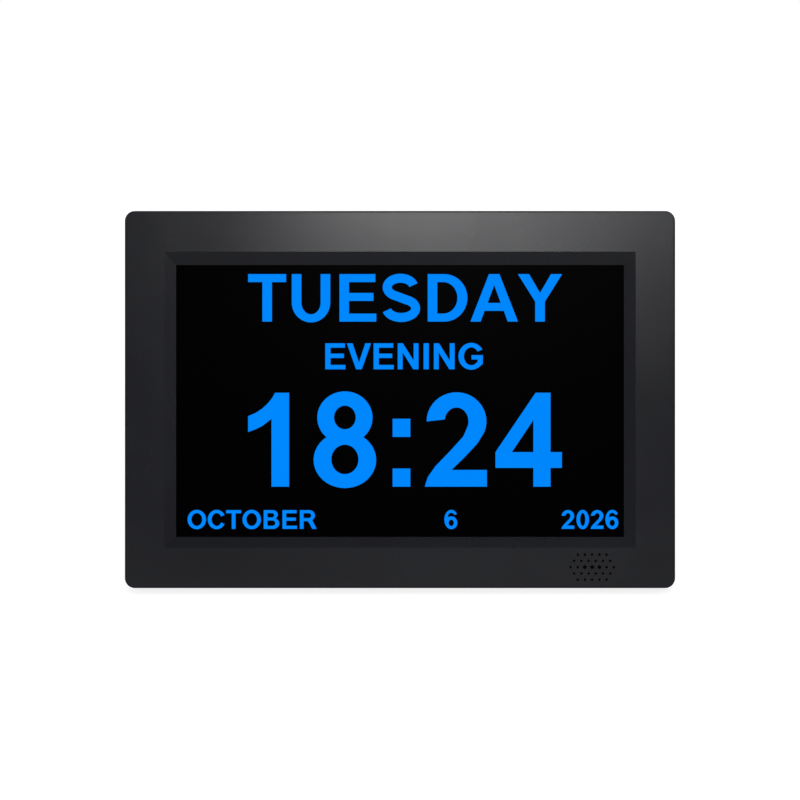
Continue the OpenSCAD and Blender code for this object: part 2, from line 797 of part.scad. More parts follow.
module housing_screws() color(steel) housing() for (p = screw_points)
    screw(p[0], p[1], rim_d - head_sink, housing_screw, -1);

// ---- Display module ----

module centred_sheet(w, h, y0, y1) {
    translate([0, 0, window_z]) slab(y0, y1) square([w, h], center = true);
}

module display_gasket() color("#2c2d2f") housing() difference() {
    centred_sheet(module_w, module_h, bevel_d, cell_y);
    centred_sheet(window_w + 2, window_h + 2, bevel_d - 1, cell_y + 1);
}

module front_polariser() color("#08090b") housing()
    centred_sheet(window_w + 3, window_h + 3, cell_y, filter_y);

module colour_filter_glass() color("#5c7f86") housing()
    translate([0, 0, ledge_h / 2]) centred_sheet(stack_w, stack_h - ledge_h, filter_y, tft_y);

module tft_glass() color("#6d8f94") housing()
    centred_sheet(stack_w, stack_h, tft_y, films_y);

module driver_chips() color(chip_black) housing() for (s = [-1, 1])
    translate([s * window_w * 0.27, 0, window_z - stack_h / 2 + ledge_h / 2])
        slab(tft_y - 0.4, tft_y) square([20, 1.4], center = true);

module optical_films() color("#e4e8ea") housing()
    centred_sheet(stack_w - sheet_trim, stack_h - sheet_trim, films_y, guide_y);

module light_guide() color("#d8eef2") housing() translate([0, 0, led_h / 2])
    centred_sheet(stack_w - sheet_trim, stack_h - sheet_trim - led_h, guide_y, reflector_y);

module led_strip() color("#f2e6a0") housing() {
    z = window_z - stack_h / 2 + 0.3;
    mid_y = (guide_y + reflector_y) / 2;
    block([-window_w / 2, guide_y + 0.2, z], [window_w / 2, reflector_y - 0.2, z + led_tape_t]);
    pitch = window_w / (led_count + 1);
    for (i = [1 : led_count])
        translate([(i - (led_count + 1) / 2) * pitch, mid_y, z + led_tape_t + led_size[2] / 2])
            cube(led_size + [0, 0, eps], center = true);
}

module reflector_sheet() color("#f5f5f2") housing()
    centred_sheet(stack_w - sheet_trim, stack_h - sheet_trim, reflector_y, reflector_y + reflector_t);

module ribbon_slot(y0, y1) {
    block([ribbon_x - ribbon_w / 2 - 1, y0, window_z - module_h / 2 - 1],
          [ribbon_x + ribbon_w / 2 + 1, y1, window_z - module_h / 2 + stack_inset + 1]);
}

module display_mould_frame() color("#e9e9e4") housing() difference() {
    centred_sheet(module_w - 2 * can_inner, module_h - 2 * can_inner, filter_y, can_y - 0.1);
    centred_sheet(stack_w + 0.2, stack_h + 0.2, filter_y - 1, can_y + 1);
    ribbon_slot(filter_y - 1, guide_y);
}

module display_back_can() color(steel) housing() difference() {
    centred_sheet(module_w, module_h, cell_y, module_y1);
    centred_sheet(module_w - 2 * can_t, module_h - 2 * can_t, cell_y - 1, can_y);
    ribbon_slot(cell_y - 1, guide_y);
    for (s = [-1, 1]) translate([s * window_w * 0.3, 0, window_z]) slab(can_y - 1, module_y1 + 1)
        rounded_rect(window_w * 0.22, window_h * 0.5, 4);
}

module display_ribbon() color("#c27a34") housing() {
    bottom = window_z - module_h / 2;
    bend = 1.5;
    back = module_y1 + 0.8;
    front = tft_y - ribbon_t / 2;
    entry = board_y0 - zif_size[1] / 2;
    path = concat(
        [[front, bottom + stack_inset + 1.6]],
        arc_points([front + bend, bottom - 1], bend, 180, 270, 6),
        arc_points([back - bend, bottom - 1], bend, 270, 360, 6),
        [[back, zif_z - 14], [entry, zif_z - 6], [entry, zif_z + 1.9]]
    );
    bar(ribbon_x - ribbon_w / 2, ribbon_x + ribbon_w / 2)
        polygon(strip_outline(path, ribbon_t));
}

module display_brackets() color("#b9bcbf") housing() for (p = bracket_points) difference() {
    translate([p[0] - sign(p[0]) * bracket_shift, module_y1 + bracket_t / 2, p[1]])
        cube([bracket_len, bracket_t, bracket_w], center = true);
    post(p[0], p[1], bracket_screw[0] + 0.2, module_y1 - 1, module_y1 + bracket_t + 1);
}

module bracket_screws() color(steel) housing() for (p = bracket_points)
    screw(p[0], p[1], module_y1 + bracket_t, bracket_screw, -1);

// ---- Main board ----

module main_board() color(board_green) housing() difference() {
    block([board_x0, board_y0, board_z0], [board_x1, board_y1, board_z1]);
    for (p = board_holes) post(p[0], p[1], board_screw[0] + 0.3, board_y0 - 1, board_y1 + 1);
}

// A flat part soldered on the back of the main board
module on_board(x, z, size, lift = 0) {
    translate([board_x0 + x, board_y1 + lift + size[1] / 2, board_z1 - z]) cube(size, center = true);
}

module processor() color(chip_black) housing() {
    on_board(65, 26, [14, 1.3, 14]);
}

// A chip with a row of bent legs along its upper and lower side
module legged_chip(x, z, size, legs) {
    on_board(x, z, size);
    pitch = (size[0] - 1) / (legs - 1);
    for (i = [0 : legs - 1], s = [-1, 1]) {
        leg_x = board_x0 + x + (i - (legs - 1) / 2) * pitch;
        edge_z = board_z1 - z + s * size[2] / 2;
        bar(leg_x - chip_leg_w / 2, leg_x + chip_leg_w / 2)
            polygon([for (p = chip_leg_profile) [board_y1 + p[1], edge_z + s * p[0]]]);
    }
}

module memory_chips() color(chip_black) housing() {
    legged_chip(48, 26, [8, 1.1, 11], 8);
    legged_chip(64, 44, [6, 1.1, 4.4], 4);
    legged_chip(54, 9, [9, 1.1, 5.4], 8);
}

module power_inductors() color("#3a3c3f") housing() {
    on_board(24, 33, [6, 3, 6]);
    on_board(24, 44, [5, 2.4, 5]);
}

module capacitors() color("#b4b7bb") housing() {
    for (p = [[18, 14], [26, 14], [36, 40]]) {
        post(board_x0 + p[0], board_z1 - p[1], 3.1, board_y1 + 0.9, board_y1 + 5.4);
        on_board(p[0], p[1], [6.6, 0.9 + eps, 6.6]);
    }
    for (i = [0 : 5]) {
        on_board(58 + i * 2.8, 37.5, [1.2, 1.2, 2]);
        on_board(76 + (i % 2) * 3, 19 + floor(i / 2) * 3.4, [1.2, 1.2, 2]);
    }
}

module quartz_crystal() color(steel) housing()
    translate([board_x0 + 50, 0, board_z1 - 41]) slab(board_y1, board_y1 + 3.4) rounded_rect(11, 4.6, 2.2);

module board_connectors() color("#ece9df") housing() {
    difference() {
        block([ribbon_x - zif_size[0] / 2, board_y0 - zif_size[1], zif_z],
              [ribbon_x + zif_size[0] / 2, board_y0, zif_z + zif_size[2]]);
        block([ribbon_x - ribbon_w / 2 - 0.5, board_y0 - zif_size[1] / 2 - 0.3, zif_z - 1],
              [ribbon_x + ribbon_w / 2 + 0.5, board_y0 - zif_size[1] / 2 + 0.3, zif_z + 2]);
    }
    block([board_x1 - header_size[0] - 1, board_y1, key_ribbon_z - header_size[2] / 2],
          [board_x1 - 1, board_y1 + header_size[1], key_ribbon_z + header_size[2] / 2]);
    block([key_x0 - 4, key_board_y - key_board_t - header_size[1], key_ribbon_z - header_size[2] / 2],
          [key_x0 + 2, key_board_y - key_board_t, key_ribbon_z + header_size[2] / 2]);
}

module dc_jack_body() color(socket_black) housing() {
    y = board_y1 + jack_size[1] / 2;
    back = port_x + wall + 0.3;
    difference() {
        union() {
            axle(y, jack_z, jack_nose_r, port_x, back + eps);
            block([back, board_y1, jack_z - jack_size[2] / 2],
                  [back + jack_size[0], board_y1 + jack_size[1], jack_z + jack_size[2] / 2]);
        }
        axle(y, jack_z, jack_bore_r, port_x - 1, port_x + jack_bore_d);
    }
}

module dc_jack_contact() color("#c9ccce") housing() {
    y = board_y1 + jack_size[1] / 2;
    tip = 0.6;
    axle(y, jack_z, jack_pin_r, port_x + 2, port_x + jack_bore_d);
    translate([port_x + 2 - tip, y, jack_z]) rotate([0, 90, 0])
        cylinder(r1 = jack_pin_r * 0.6, r2 = jack_pin_r, h = tip);
}

// A socket's outline, drawn in by inset all round, from x0 to x1
module socket_block(z, size, inset, x0, x1) {
    block([x0, board_y1 + inset, z - size[2] / 2 + inset],
          [x1, board_y1 + size[1] - inset, z + size[2] / 2 - inset]);
}

module usb_socket_shell() color(steel) housing() difference() {
    spring = [4, 2, 3.2];                // window length, width, distance from the middle
    socket_block(usb_z, usb_size, 0, port_x, port_x + usb_size[0]);
    socket_block(usb_z, usb_size, usb_wall, port_x - 1, port_x + usb_size[0] - usb_wall);
    for (s = [-1, 1])
        translate([port_x + 6.5, board_y1 + usb_size[1], usb_z + s * spring[2]])
            cube([spring[0], 4 * usb_wall, spring[1]], center = true);
}

module usb_socket_tongue() color("#f0f0ec") housing() {
    base = 2.6;
    fit = 0.05;
    back = port_x + usb_size[0] - usb_wall;
    top = board_y1 + usb_size[1] - usb_wall - 0.5;
    socket_block(usb_z, usb_size, usb_wall + fit, back - base, back - fit);
    block([back - base - tongue_size[0], top - tongue_size[1], usb_z - tongue_size[2] / 2],
          [back - base + 0.1, top, usb_z + tongue_size[2] / 2]);
}

module card_socket() color("#c4c6c8") housing() difference() {
    sheet = 0.4;
    socket_block(card_z, card_size, 0, port_x, port_x + card_size[0]);
    block([port_x - 1, board_y1 + sheet, card_z - card_slot[0] / 2],
          [port_x + card_size[0] - 2, board_y1 + sheet + card_slot[1], card_z + card_slot[0] / 2]);
}

module cell_holder() color(socket_black) housing() difference() {
    union() {
        post(cell_at[0], cell_at[1], cell_r + 1.5, board_y1, board_y1 + cell_t + cell_floor + 0.2);
        translate([cell_at[0], 0, cell_at[1]]) slab(board_y1, board_y1 + 2)
            square([8, 2 * cell_r + 6.8], center = true);
    }
    post(cell_at[0], cell_at[1], cell_r + 0.15, board_y1 + cell_floor, board_y1 + 2 * cell_t);
    translate([cell_at[0], 0, cell_at[1] + cell_r]) slab(board_y1 + cell_floor, board_y1 + 2 * cell_t)
        translate([-4.5, -6]) square([9, 6.6]);
}

module coin_cell() color("#cfd2d4") housing() {
    step_y = board_y1 + cell_floor + 0.6;
    post(cell_at[0], cell_at[1], cell_r, step_y, board_y1 + cell_floor + cell_t);
    post(cell_at[0], cell_at[1], cell_r - 1.2, board_y1 + cell_floor, step_y + eps);
}

module board_screws() color(steel) housing() for (p = board_holes)
    screw(p[0], p[1], board_y0, board_screw, 1);

// ---- Buttons ----

module key_board() color(board_green) housing() difference() {
    block([key_x0 - key_end, key_board_y - key_board_t, key_z - key_board_h / 2],
          [key_x1 + key_end, key_board_y, key_z + key_board_h / 2]);
    for (x = key_holes)
        post(x, key_z, key_screw[0] + 0.2, key_board_y - key_board_t - 1, key_board_y + 1);
}

module key_board_screws() color(steel) housing() for (x = key_holes)
    screw(x, key_z, key_board_y - key_board_t, key_screw, 1);

module key_switches() color("#3a3b3d") housing() for (i = [0 : button_count - 1]) {
    x = key_x0 + i * button_pitch;
    difference() {
        block([x - switch_w / 2, key_board_y, key_z - switch_w / 2],
              [x + switch_w / 2, switch_y, key_z + switch_w / 2]);
        post(x, key_z, plunger_r + plunger_gap, switch_y - switch_bore_d, switch_y + 1);
    }
}

module key_ribbon() color("#d8d8d8") housing() {
    start = [board_x1 - 1, board_y1 + header_size[1] / 2];
    end = [key_x0 - 4, key_board_y - key_board_t - header_size[1] / 2];
    dip = [key_holes[0], key_board_y - key_board_t - key_screw[2] - key_ribbon_t];
    path = [start, start + [2, 0], dip, end - [2, 0], end];
    translate([0, 0, key_ribbon_z - key_ribbon_w / 2]) linear_extrude(key_ribbon_w)
        polygon(strip_outline(path, key_ribbon_t));
}

module button(i) color("#1c1d1f") housing() difference() {
    x = key_x0 + i * button_pitch;
    top = body_d + button_out;
    dish_half = button_r - 0.9;
    dish_r = (dish_half * dish_half + dish_d * dish_d) / (2 * dish_d);
    edge = 0.4;
    union() {
        post(x, key_z, button_r, flange_y + flange_t - eps, top - edge);
        translate([x, top - edge, key_z]) rotate([-90, 0, 0])
            cylinder(r1 = button_r, r2 = button_r - edge, h = edge);
        post(x, key_z, button_r + flange_out, flange_y, flange_y + flange_t);
    }
    translate([x, top + dish_r - dish_d, key_z]) sphere(r = dish_r);
}

module plunger(i) color("#8a2f2a") housing()
    post(key_x0 + i * button_pitch, key_z, plunger_r, switch_y - plunger_sunk, flange_y);

// ---- Speaker ----

module oblong(y0, y1, grow) {
    translate([sound_x, 0, speaker_z]) slab(y0, y1)
        rounded_rect(speaker_size[0] + 2 * grow, speaker_size[1] + 2 * grow, speaker_corner_r + grow);
}

module speaker_seal() color("#1a1a1b") housing() difference() {
    oblong(face_t, speaker_y, 0);
    oblong(face_t - 1, speaker_y + 1, -speaker_rim);
}

module speaker_basket() color("#8e9194") housing() difference() {
    oblong(speaker_y, speaker_y + speaker_t, 0);
    oblong(speaker_y - 1, speaker_y + speaker_t - 0.6, -speaker_rim);
    post(sound_x, speaker_z, magnet_r - 0.6, speaker_y, speaker_y + speaker_t + 1);
}

module speaker_cone() color("#2b2b2d") housing() difference() {
    oblong(speaker_y + 0.4, speaker_y + 1, -speaker_rim);
    post(sound_x, speaker_z, 2.2, speaker_y, speaker_y + 0.7);
}

module speaker_magnet() color("#707376") housing()
    post(sound_x, speaker_z, magnet_r, speaker_y + speaker_t, speaker_y + speaker_t + magnet_t);

module speaker_lead() color("#9e2b25") housing() for (s = [-1, 1])
    tube(smooth_route([for (p = lead_route) p + [0, 0, s * (wire_d + wire_gap) / 2]], 4), wire_d, 8);

// ---- Stand ----

module hinge_pin() color(steel) housing()
    axle(hinge_y, hinge_h, pin_r, -recess_w / 2 - hinge_boss[0], recess_w / 2 + hinge_boss[0]);

module hinge_washers() color("#d0d2d4") housing() for (s = [-1, 1]) {
    x = s * (recess_w / 2 - recess_gap / 2);
    difference() {
        axle(hinge_y, hinge_h, washer_r, x - washer_t / 2, x + washer_t / 2);
        axle(hinge_y, hinge_h, pin_r + pin_gap, x - 1, x + 1);
    }
}

// The stand's own frame: hinge axis at the origin, leg along -Z, outer face towards +Y
module stand() {
    housing() translate([0, hinge_y, hinge_h]) rotate([stand_open, 0, 0]) children();
}

module leg_outline(inset) {
    w = leg_w - 2 * inset;
    r = leg_corner_r - inset;
    end = inset - plate_len;
    translate([-w / 2, end + r]) square([w, -end - r]);
    translate([r - w / 2, end]) square([w - 2 * r, r + eps]);
    for (s = [-1, 1]) translate([s * (w / 2 - r), end + r]) circle(r);
}

// The leg's section with its two outer edges chamfered
module leg_edges() {
    half = leg_w / 2;
    translate([0, 0, -leg_len]) linear_extrude(2 * leg_len) polygon([
        [-half, -leg_in - 1], [half, -leg_in - 1],
        [half, leg_back - leg_edge], [half - leg_edge, leg_back],
        [leg_edge - half, leg_back], [-half, leg_back - leg_edge]
    ]);
}

// Ribs inside the leg, a little lower than its rim
module leg_ribs() {
    low = 0.8;
    slab(-leg_in + low, leg_back - leg_skin / 2) {
        for (x = [-leg_w / 5, 0, leg_w / 5])
            translate([x - rib_t / 2, -plate_len + foot_depth + 2])
                square([rib_t, plate_len - foot_depth - 2 - barrel_r]);
        for (f = [0.35, 0.68])
            translate([0, -plate_len * f]) square([leg_w - 2, rib_t], center = true);
    }
}

module foot_block() {
    block([-foot_w / 2, foot_mid - foot_t / 2, -leg_len],
          [foot_w / 2, foot_mid + foot_t / 2, -leg_len + foot_out + foot_depth]);
}

module stand_leg() color(grained_plastic) stand() difference() {
    union() {
        difference() {
            intersection() {
                slab(-leg_in, leg_back) leg_outline(0);
                leg_edges();
            }
            slab(-leg_in - 1, leg_back - leg_skin) difference() {
                leg_outline(leg_skin);
                translate([-leg_w / 2, -barrel_r - 1]) square([leg_w, barrel_r + 2]);
                translate([-leg_w / 2, -plate_len]) square([leg_w, foot_depth + leg_skin]);
            }
        }
        leg_ribs();
        block([-leg_w / 2, -leg_in, -eps], [leg_w / 2, leg_back, heel_len]);
        axle(0, 0, barrel_r, -leg_w / 2, leg_w / 2);
    }
    axle(0, 0, pin_r + pin_gap, -leg_w, leg_w);
    foot_block();
    groove_y = leg_back + groove_r * 0.4;
    for (i = [0 : groove_count - 1])
        axle(groove_y, -plate_len + groove_low + i * groove_pitch, groove_r, -leg_w * 0.3, leg_w * 0.3);
}

module stand_foot() color("#161617") difference() {
    stand() foot_block();
    translate([-body_w, -500, -50]) cube([2 * body_w, 1000, 50]);
}

// ---- Draw ----

front_bezel();
rear_cover();
housing_screws();
display_gasket();
front_polariser();
colour_filter_glass();
tft_glass();
driver_chips();
optical_films();
light_guide();
led_strip();
reflector_sheet();
display_mould_frame();
display_back_can();
display_ribbon();
display_brackets();
bracket_screws();
main_board();
processor();
memory_chips();
power_inductors();
capacitors();
quartz_crystal();
board_connectors();
dc_jack_body();
dc_jack_contact();
usb_socket_shell();
usb_socket_tongue();
card_socket();
cell_holder();
coin_cell();
board_screws();
key_board();
key_switches();
key_board_screws();
key_ribbon();
speaker_basket();
speaker_cone();
speaker_magnet();
speaker_seal();
speaker_lead();
hinge_pin();
hinge_washers();
stand_leg();
stand_foot();
for (i = [1 : button_count]) {
    button(i - 1);
    plunger(i - 1);
}
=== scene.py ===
"""Looks of the day clock: a wide display in a black moulded housing, leaning on its fold-out leg."""
import json
import math

import bmesh
import bpy
from mathutils import Matrix, Vector
from mathutils.geometry import tessellate_polygon


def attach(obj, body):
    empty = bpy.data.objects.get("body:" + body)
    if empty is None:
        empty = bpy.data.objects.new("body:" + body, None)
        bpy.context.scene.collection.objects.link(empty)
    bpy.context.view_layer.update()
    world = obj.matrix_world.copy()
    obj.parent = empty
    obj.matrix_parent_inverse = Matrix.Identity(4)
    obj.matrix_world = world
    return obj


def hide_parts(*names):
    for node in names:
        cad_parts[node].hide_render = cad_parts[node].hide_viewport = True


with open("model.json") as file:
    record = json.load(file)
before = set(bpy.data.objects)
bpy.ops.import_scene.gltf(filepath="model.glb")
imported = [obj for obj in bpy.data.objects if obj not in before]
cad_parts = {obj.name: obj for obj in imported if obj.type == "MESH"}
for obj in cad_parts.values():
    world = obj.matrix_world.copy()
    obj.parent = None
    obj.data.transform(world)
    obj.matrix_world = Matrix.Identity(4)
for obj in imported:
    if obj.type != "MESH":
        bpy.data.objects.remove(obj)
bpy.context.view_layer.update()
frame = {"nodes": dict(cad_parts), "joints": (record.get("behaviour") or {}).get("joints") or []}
scene = bpy.context.scene

# ---- The leaning housing ----
# The housing leans back on its leg. The buttons are pressed square to its face, so their travel
# gives the lean, and turning the front bezel upright gives the face's plane and bottom edge.
press = Vector(next(j["axis"] for j in frame["joints"] if j["name"] == "button_1_press"))
lean = math.atan2(press.z, -press.y)
upright = Matrix.Rotation(lean, 4, "X")


def extent(points):
    """Lowest and highest corner of the box round some points."""
    return [Vector([pick(p[i] for p in points) for i in range(3)]) for pick in (min, max)]


def turned_box(node_name, turn):
    return extent([turn @ v.co for v in frame["nodes"][node_name].data.vertices])


bezel_low, bezel_high = turned_box("front_bezel", upright)
housing = upright.inverted() @ Matrix.Translation((0, bezel_low.y, bezel_low.z))
to_housing = housing.inverted()
body_h = bezel_high.z - bezel_low.z

# ---- Camera and studio ----
# The photograph looks square at the face from some way off, so the camera leans with the face, and
# its frame is 320 mm wide there. A small softbox near the camera draws the soft light along the top
# of the frame, a weaker one beside it fades down the right, and large ones light the rest evenly.
view_distance = 1.8
view_width = 0.3197
view_drop = 0.0002
sensor_width = 36.0


def added(name, data):
    """A new object in the scene."""
    obj = bpy.data.objects.new(name, data)
    scene.collection.objects.link(obj)
    return obj


camera_data = bpy.data.cameras.new("camera")
camera_data.sensor_width = sensor_width
camera_data.lens = sensor_width * view_distance / view_width
camera = added("camera", camera_data)
face_centre = Vector((0, 0, body_h / 2))
view_from = face_centre - Vector((0, view_distance, view_drop))
camera.matrix_world = housing @ Matrix.Translation(view_from) @ Matrix.Rotation(math.pi / 2, 4, "X")
scene.camera = camera
scene.view_settings.view_transform = "Standard"


def softbox(name, place, size, radiance):
    """A lamp of that size and radiance which faces the clock; its place is in the housing's frame."""
    lamp = bpy.data.lights.new(name, "AREA")
    lamp.shape = "RECTANGLE"
    lamp.size, lamp.size_y = size
    lamp.energy = radiance * math.pi * size[0] * size[1]
    start, end = housing @ Vector(place), housing @ face_centre
    turn = (end - start).to_track_quat("-Z", "Y").to_matrix().to_4x4()
    added(name, lamp).matrix_world = Matrix.Translation(start) @ turn


softbox("softbox_frame", (0.022, -0.45, body_h / 2 + 0.150), (0.135, 0.17), 6.9)
softbox("softbox_frame_right", (0.150, -0.45, body_h / 2 + 0.178), (0.10, 0.12), 3.3)
softbox("softbox_low", (0, -0.45, body_h / 2 - 0.15), (0.5, 0.12), 0.42)
softbox("softbox_left", (-1.4, -1.1, 0.9), (0.9, 0.9), 1.9)
softbox("softbox_right", (1.5, -0.9, 0.87), (0.9, 0.9), 2.0)
softbox("softbox_over", (0, 0.5, 1.6), (1.6, 1.0), 1.1)
softbox("softbox_back", (0.9, 1.6, 0.9), (0.9, 0.9), 2.8)


def feed(tree, inputs, *values, **named):
    """Sets or links a node's inputs, in order or by name; a list's sockets are all linked to one input."""
    pairs = [*zip(inputs, values), *((inputs[n.replace("_", " ")], v) for n, v in named.items())]
    for socket, value in pairs:
        for one in value if isinstance(value, list) else [value]:
            if isinstance(one, bpy.types.NodeSocket):
                tree.links.new(one, socket)
            else:
                socket.default_value = (*one, 1) if socket.type == "RGBA" else one


def node(tree, kind, *values, settings=None, **named):
    """Adds a node with its settings and its inputs' values, and gives its outputs."""
    made = tree.nodes.new(kind)
    for label, value in (settings or {}).items():
        setattr(made, label, value)
    feed(tree, made.inputs, *values, **named)
    return made.outputs


def maths(tree, operation, *values):
    return node(tree, "ShaderNodeMath", *values, settings={"operation": operation})[0]


world = bpy.data.worlds.new("studio")
scene.world = world
world.use_nodes = True
white = (1, 1, 1)
room_fill = 0.35
room_dim, room_bright = 0.09, 0.42
room_front, room_back = -0.3, 0.5


def studio_room(tree):
    """White to the camera and through glass, an even fill, and for reflections a room with a pale back."""
    tree.nodes.clear()
    depth = node(tree, "ShaderNodeSeparateXYZ", node(tree, "ShaderNodeTexCoord")["Generated"])["Y"]
    shade = node(tree, "ShaderNodeMapRange", depth, room_front, room_back, room_dim, room_bright,
                 settings={"interpolation_type": "SMOOTHSTEP"})[0]
    fill, room, backdrop = (node(tree, "ShaderNodeBackground", white, strength)[0]
                            for strength in (room_fill, shade, 1.0))
    rays = node(tree, "ShaderNodeLightPath")
    seen = maths(tree, "MAXIMUM", rays["Is Camera Ray"], rays["Is Transmission Ray"])
    lit = node(tree, "ShaderNodeMixShader", rays["Is Glossy Ray"], fill, room)[0]
    node(tree, "ShaderNodeOutputWorld", node(tree, "ShaderNodeMixShader", seen, lit, backdrop)[0])


studio_room(world.node_tree)

# ---- Floor ----
# A plain white sweep. It also glows, for the camera alone, so that it stays as white as the
# photograph's ground and still keeps the clock's contact shadow.
floor_half_width = 6.0
floor_front, floor_behind = -6.0, 1.2
floor_white = 0.3
floor_glow = 0.86


def finish(name, colour, roughness, specular=0.5, metallic=0.0):
    """A material with the settings that are the same all over; gives its tree and shader inputs too."""
    material = bpy.data.materials.new(name)
    material.use_nodes = True
    tree = material.node_tree
    shader = tree.nodes["Principled BSDF"].inputs
    feed(tree, shader, Base_Color=colour, Roughness=roughness, Specular_IOR_Level=specular, Metallic=metallic)
    return material, tree, shader


mesh = bpy.data.meshes.new("floor")
corners = [(-1, floor_front), (1, floor_front), (1, floor_behind), (-1, floor_behind)]
mesh.from_pydata([(x * floor_half_width, y, 0) for x, y in corners], [], [(0, 1, 2, 3)])
paper, tree, shader = finish("studio_paper", (floor_white, floor_white, floor_white), 0.9)
to_camera = node(tree, "ShaderNodeLightPath")["Is Camera Ray"]
feed(tree, shader, Emission_Color=white, Emission_Strength=maths(tree, "MULTIPLY", to_camera, floor_glow))
mesh.materials.append(paper)
added("floor", mesh)

# ---- Front bezel ----
# One injection-moulded shell in satin charcoal-black ABS: flat face, mitred slope down to the
# display, small sound holes. Four corner screws and one at the top hold it to the rear cover.
MM = 0.001
charcoal = (0.0098, 0.0104, 0.0148)
front_roughness = 0.26
coarse_grain, fine_share = 0.37, 0.65


def node_group(name, kind, inputs, outputs):
    """An empty node group and its inner ends; each socket is named with its usual value or its kind."""
    tree = bpy.data.node_groups.new(name, kind)
    for side, sockets in (("INPUT", inputs), ("OUTPUT", outputs)):
        for label, value in sockets.items():
            usual = not isinstance(value, str)
            value_kind = {float: "Float", int: "Int"}[type(value)] if usual else value
            socket = tree.interface.new_socket(label, in_out=side, socket_type="NodeSocket" + value_kind)
            if usual:
                socket.default_value = value
    return tree, tree.nodes.new("NodeGroupInput").outputs, tree.nodes.new("NodeGroupOutput").inputs


def effect(name, inputs, *outputs):
    """A shader node group for an effect that several finishes share."""
    return node_group(name, "ShaderNodeTree", inputs, dict.fromkeys(outputs, "Float"))


def use(tree, group, **values):
    """The outputs of a shared effect in a finish, with this finish's own values."""
    return node(tree, "ShaderNodeGroup", settings={"node_tree": group}, **values)


def noise(tree, place, scale, detail, rough=0.5):
    return node(tree, "ShaderNodeTexNoise", Vector=place, Scale=scale, Detail=detail, Roughness=rough)["Fac"]


def own_place(tree):
    return node(tree, "ShaderNodeTexCoord")["Object"]


def make_mould_skin():
    """Spark-eroded mould texture: fine rounded grains, and slow patches from the melt's flow."""
    tree, given, result = effect("mould_skin", {"Place": "Vector", "Grains": 2500.0, "Patches": 18.0},
                                 "Height", "Patch")
    fine = noise(tree, given["Place"], given["Grains"], 2.0)
    coarse = noise(tree, given["Place"], maths(tree, "MULTIPLY", given["Grains"], coarse_grain), 1.0)
    shares = maths(tree, "MULTIPLY", fine, fine_share), maths(tree, "MULTIPLY", coarse, 1 - fine_share)
    patches = noise(tree, given["Place"], given["Patches"], 3.0, 0.6)
    feed(tree, result, Height=maths(tree, "ADD", *shares), Patch=patches)
    return tree


mould_skin = make_mould_skin()


def spread(tree, factor, low, high, start=0.3, end=0.7):
    """Maps factor, which runs from start to end, onto low to high."""
    return node(tree, "ShaderNodeMapRange", factor, start, end, low, high)[0]


def tinted(tree, factor, first, second):
    """A colour that runs from the first to the second with factor; each is a colour or a socket."""
    colours = {"data_type": "RGBA"}
    return node(tree, "ShaderNodeMix", settings=colours, Factor=factor, A=first, B=second)["Result"]


def shaded(colour, share):
    return tuple(c * share for c in colour)


def bumped(tree, height, depth):
    """The normal of a surface that height raises by depth metres."""
    return node(tree, "ShaderNodeBump", Height=height, Distance=depth, Strength=1.0)[0]


def moulded_plastic(name, colour, roughness, grains, depth, contrast=0.08, gloss_change=0.03, specular=0.5):
    """Plastic straight from the mould, with its skin's grain and faint patches."""
    material, tree, shader = finish(name, colour, roughness, specular)
    skin = use(tree, mould_skin, Place=own_place(tree), Grains=grains)
    patch = skin["Patch"]
    tone = tinted(tree, spread(tree, patch, 0, 1), shaded(colour, 1 - contrast), shaded(colour, 1 + contrast))
    gloss = spread(tree, patch, roughness - gloss_change, roughness + gloss_change)
    feed(tree, shader, Base_Color=tone, Roughness=gloss, Normal=bumped(tree, skin["Height"], depth))
    return material


def dress(obj, material, body):
    """Gives a finished piece its material and the body it rides on."""
    obj.data.materials.clear()
    obj.data.materials.append(material)
    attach(obj, body)
    return obj


same_plane = math.radians(1.5)
hair_turn = math.radians(13)
hair_width = 0.09 * MM
far_larger = 3.0
mitre_share = 0.2


def joins(face, normal):
    """Whether a face belongs to a flat with that normal: it lies in its plane, or is a hair-thin round."""
    turn = normal.angle(face.normal, 0)
    hair = 2 * face.calc_area() < hair_width * max(edge.calc_length() for edge in face.edges)
    return turn < same_plane or hair and turn < hair_turn


def flat_regions(soup):
    """Each face's flat region, and each region's area, normal and length."""
    region, regions = {}, []
    for start in sorted(soup.faces, key=lambda face: -face.calc_area()):
        if start.index in region:
            continue
        region[start.index] = len(regions)
        found, waiting = [start], [start]
        while waiting:
            for edge in waiting.pop().edges:
                for other in edge.link_faces:
                    if other.index not in region and joins(other, start.normal):
                        region[other.index] = len(regions)
                        found.append(other)
                        waiting.append(other)
        areas = [face.calc_area() for face in found]
        low, high = extent([v.co for face in found for v in face.verts])
        mean = sum((face.normal * area for face, area in zip(found, areas)), Vector()).normalized()
        regions.append((sum(areas), mean, max(high - low)))
    return region, regions


def keep_crisp(soup, region, regions, sharp):
    """Marks the edges where flats meet steeply, or at a mitre, which is short beside both of them."""
    shared, borders = {}, []
    for edge in soup.edges:
        sides = tuple(sorted({region[face.index] for face in edge.link_faces}))
        if len(sides) == 2:
            borders.append((edge, sides))
            shared[sides] = shared.get(sides, 0) + edge.calc_length()
    for edge, sides in borders:
        (_, normal_a, length_a), (_, normal_b, length_b) = (regions[side] for side in sides)
        mitre = shared[sides] < mitre_share * min(length_a, length_b)
        edge.smooth = normal_a.angle(normal_b, 0) < sharp and not mitre


def corner_fan(corner):
    """The faces round a corner's vertex that are reached without crossing a sharp edge."""
    fan, waiting = {corner.face}, [corner.face]
    while waiting:
        for edge in waiting.pop().edges:
            if edge.smooth and corner.vert in edge.verts:
                fresh = set(edge.link_faces) - fan
                fan |= fresh
                waiting += fresh
    return fan


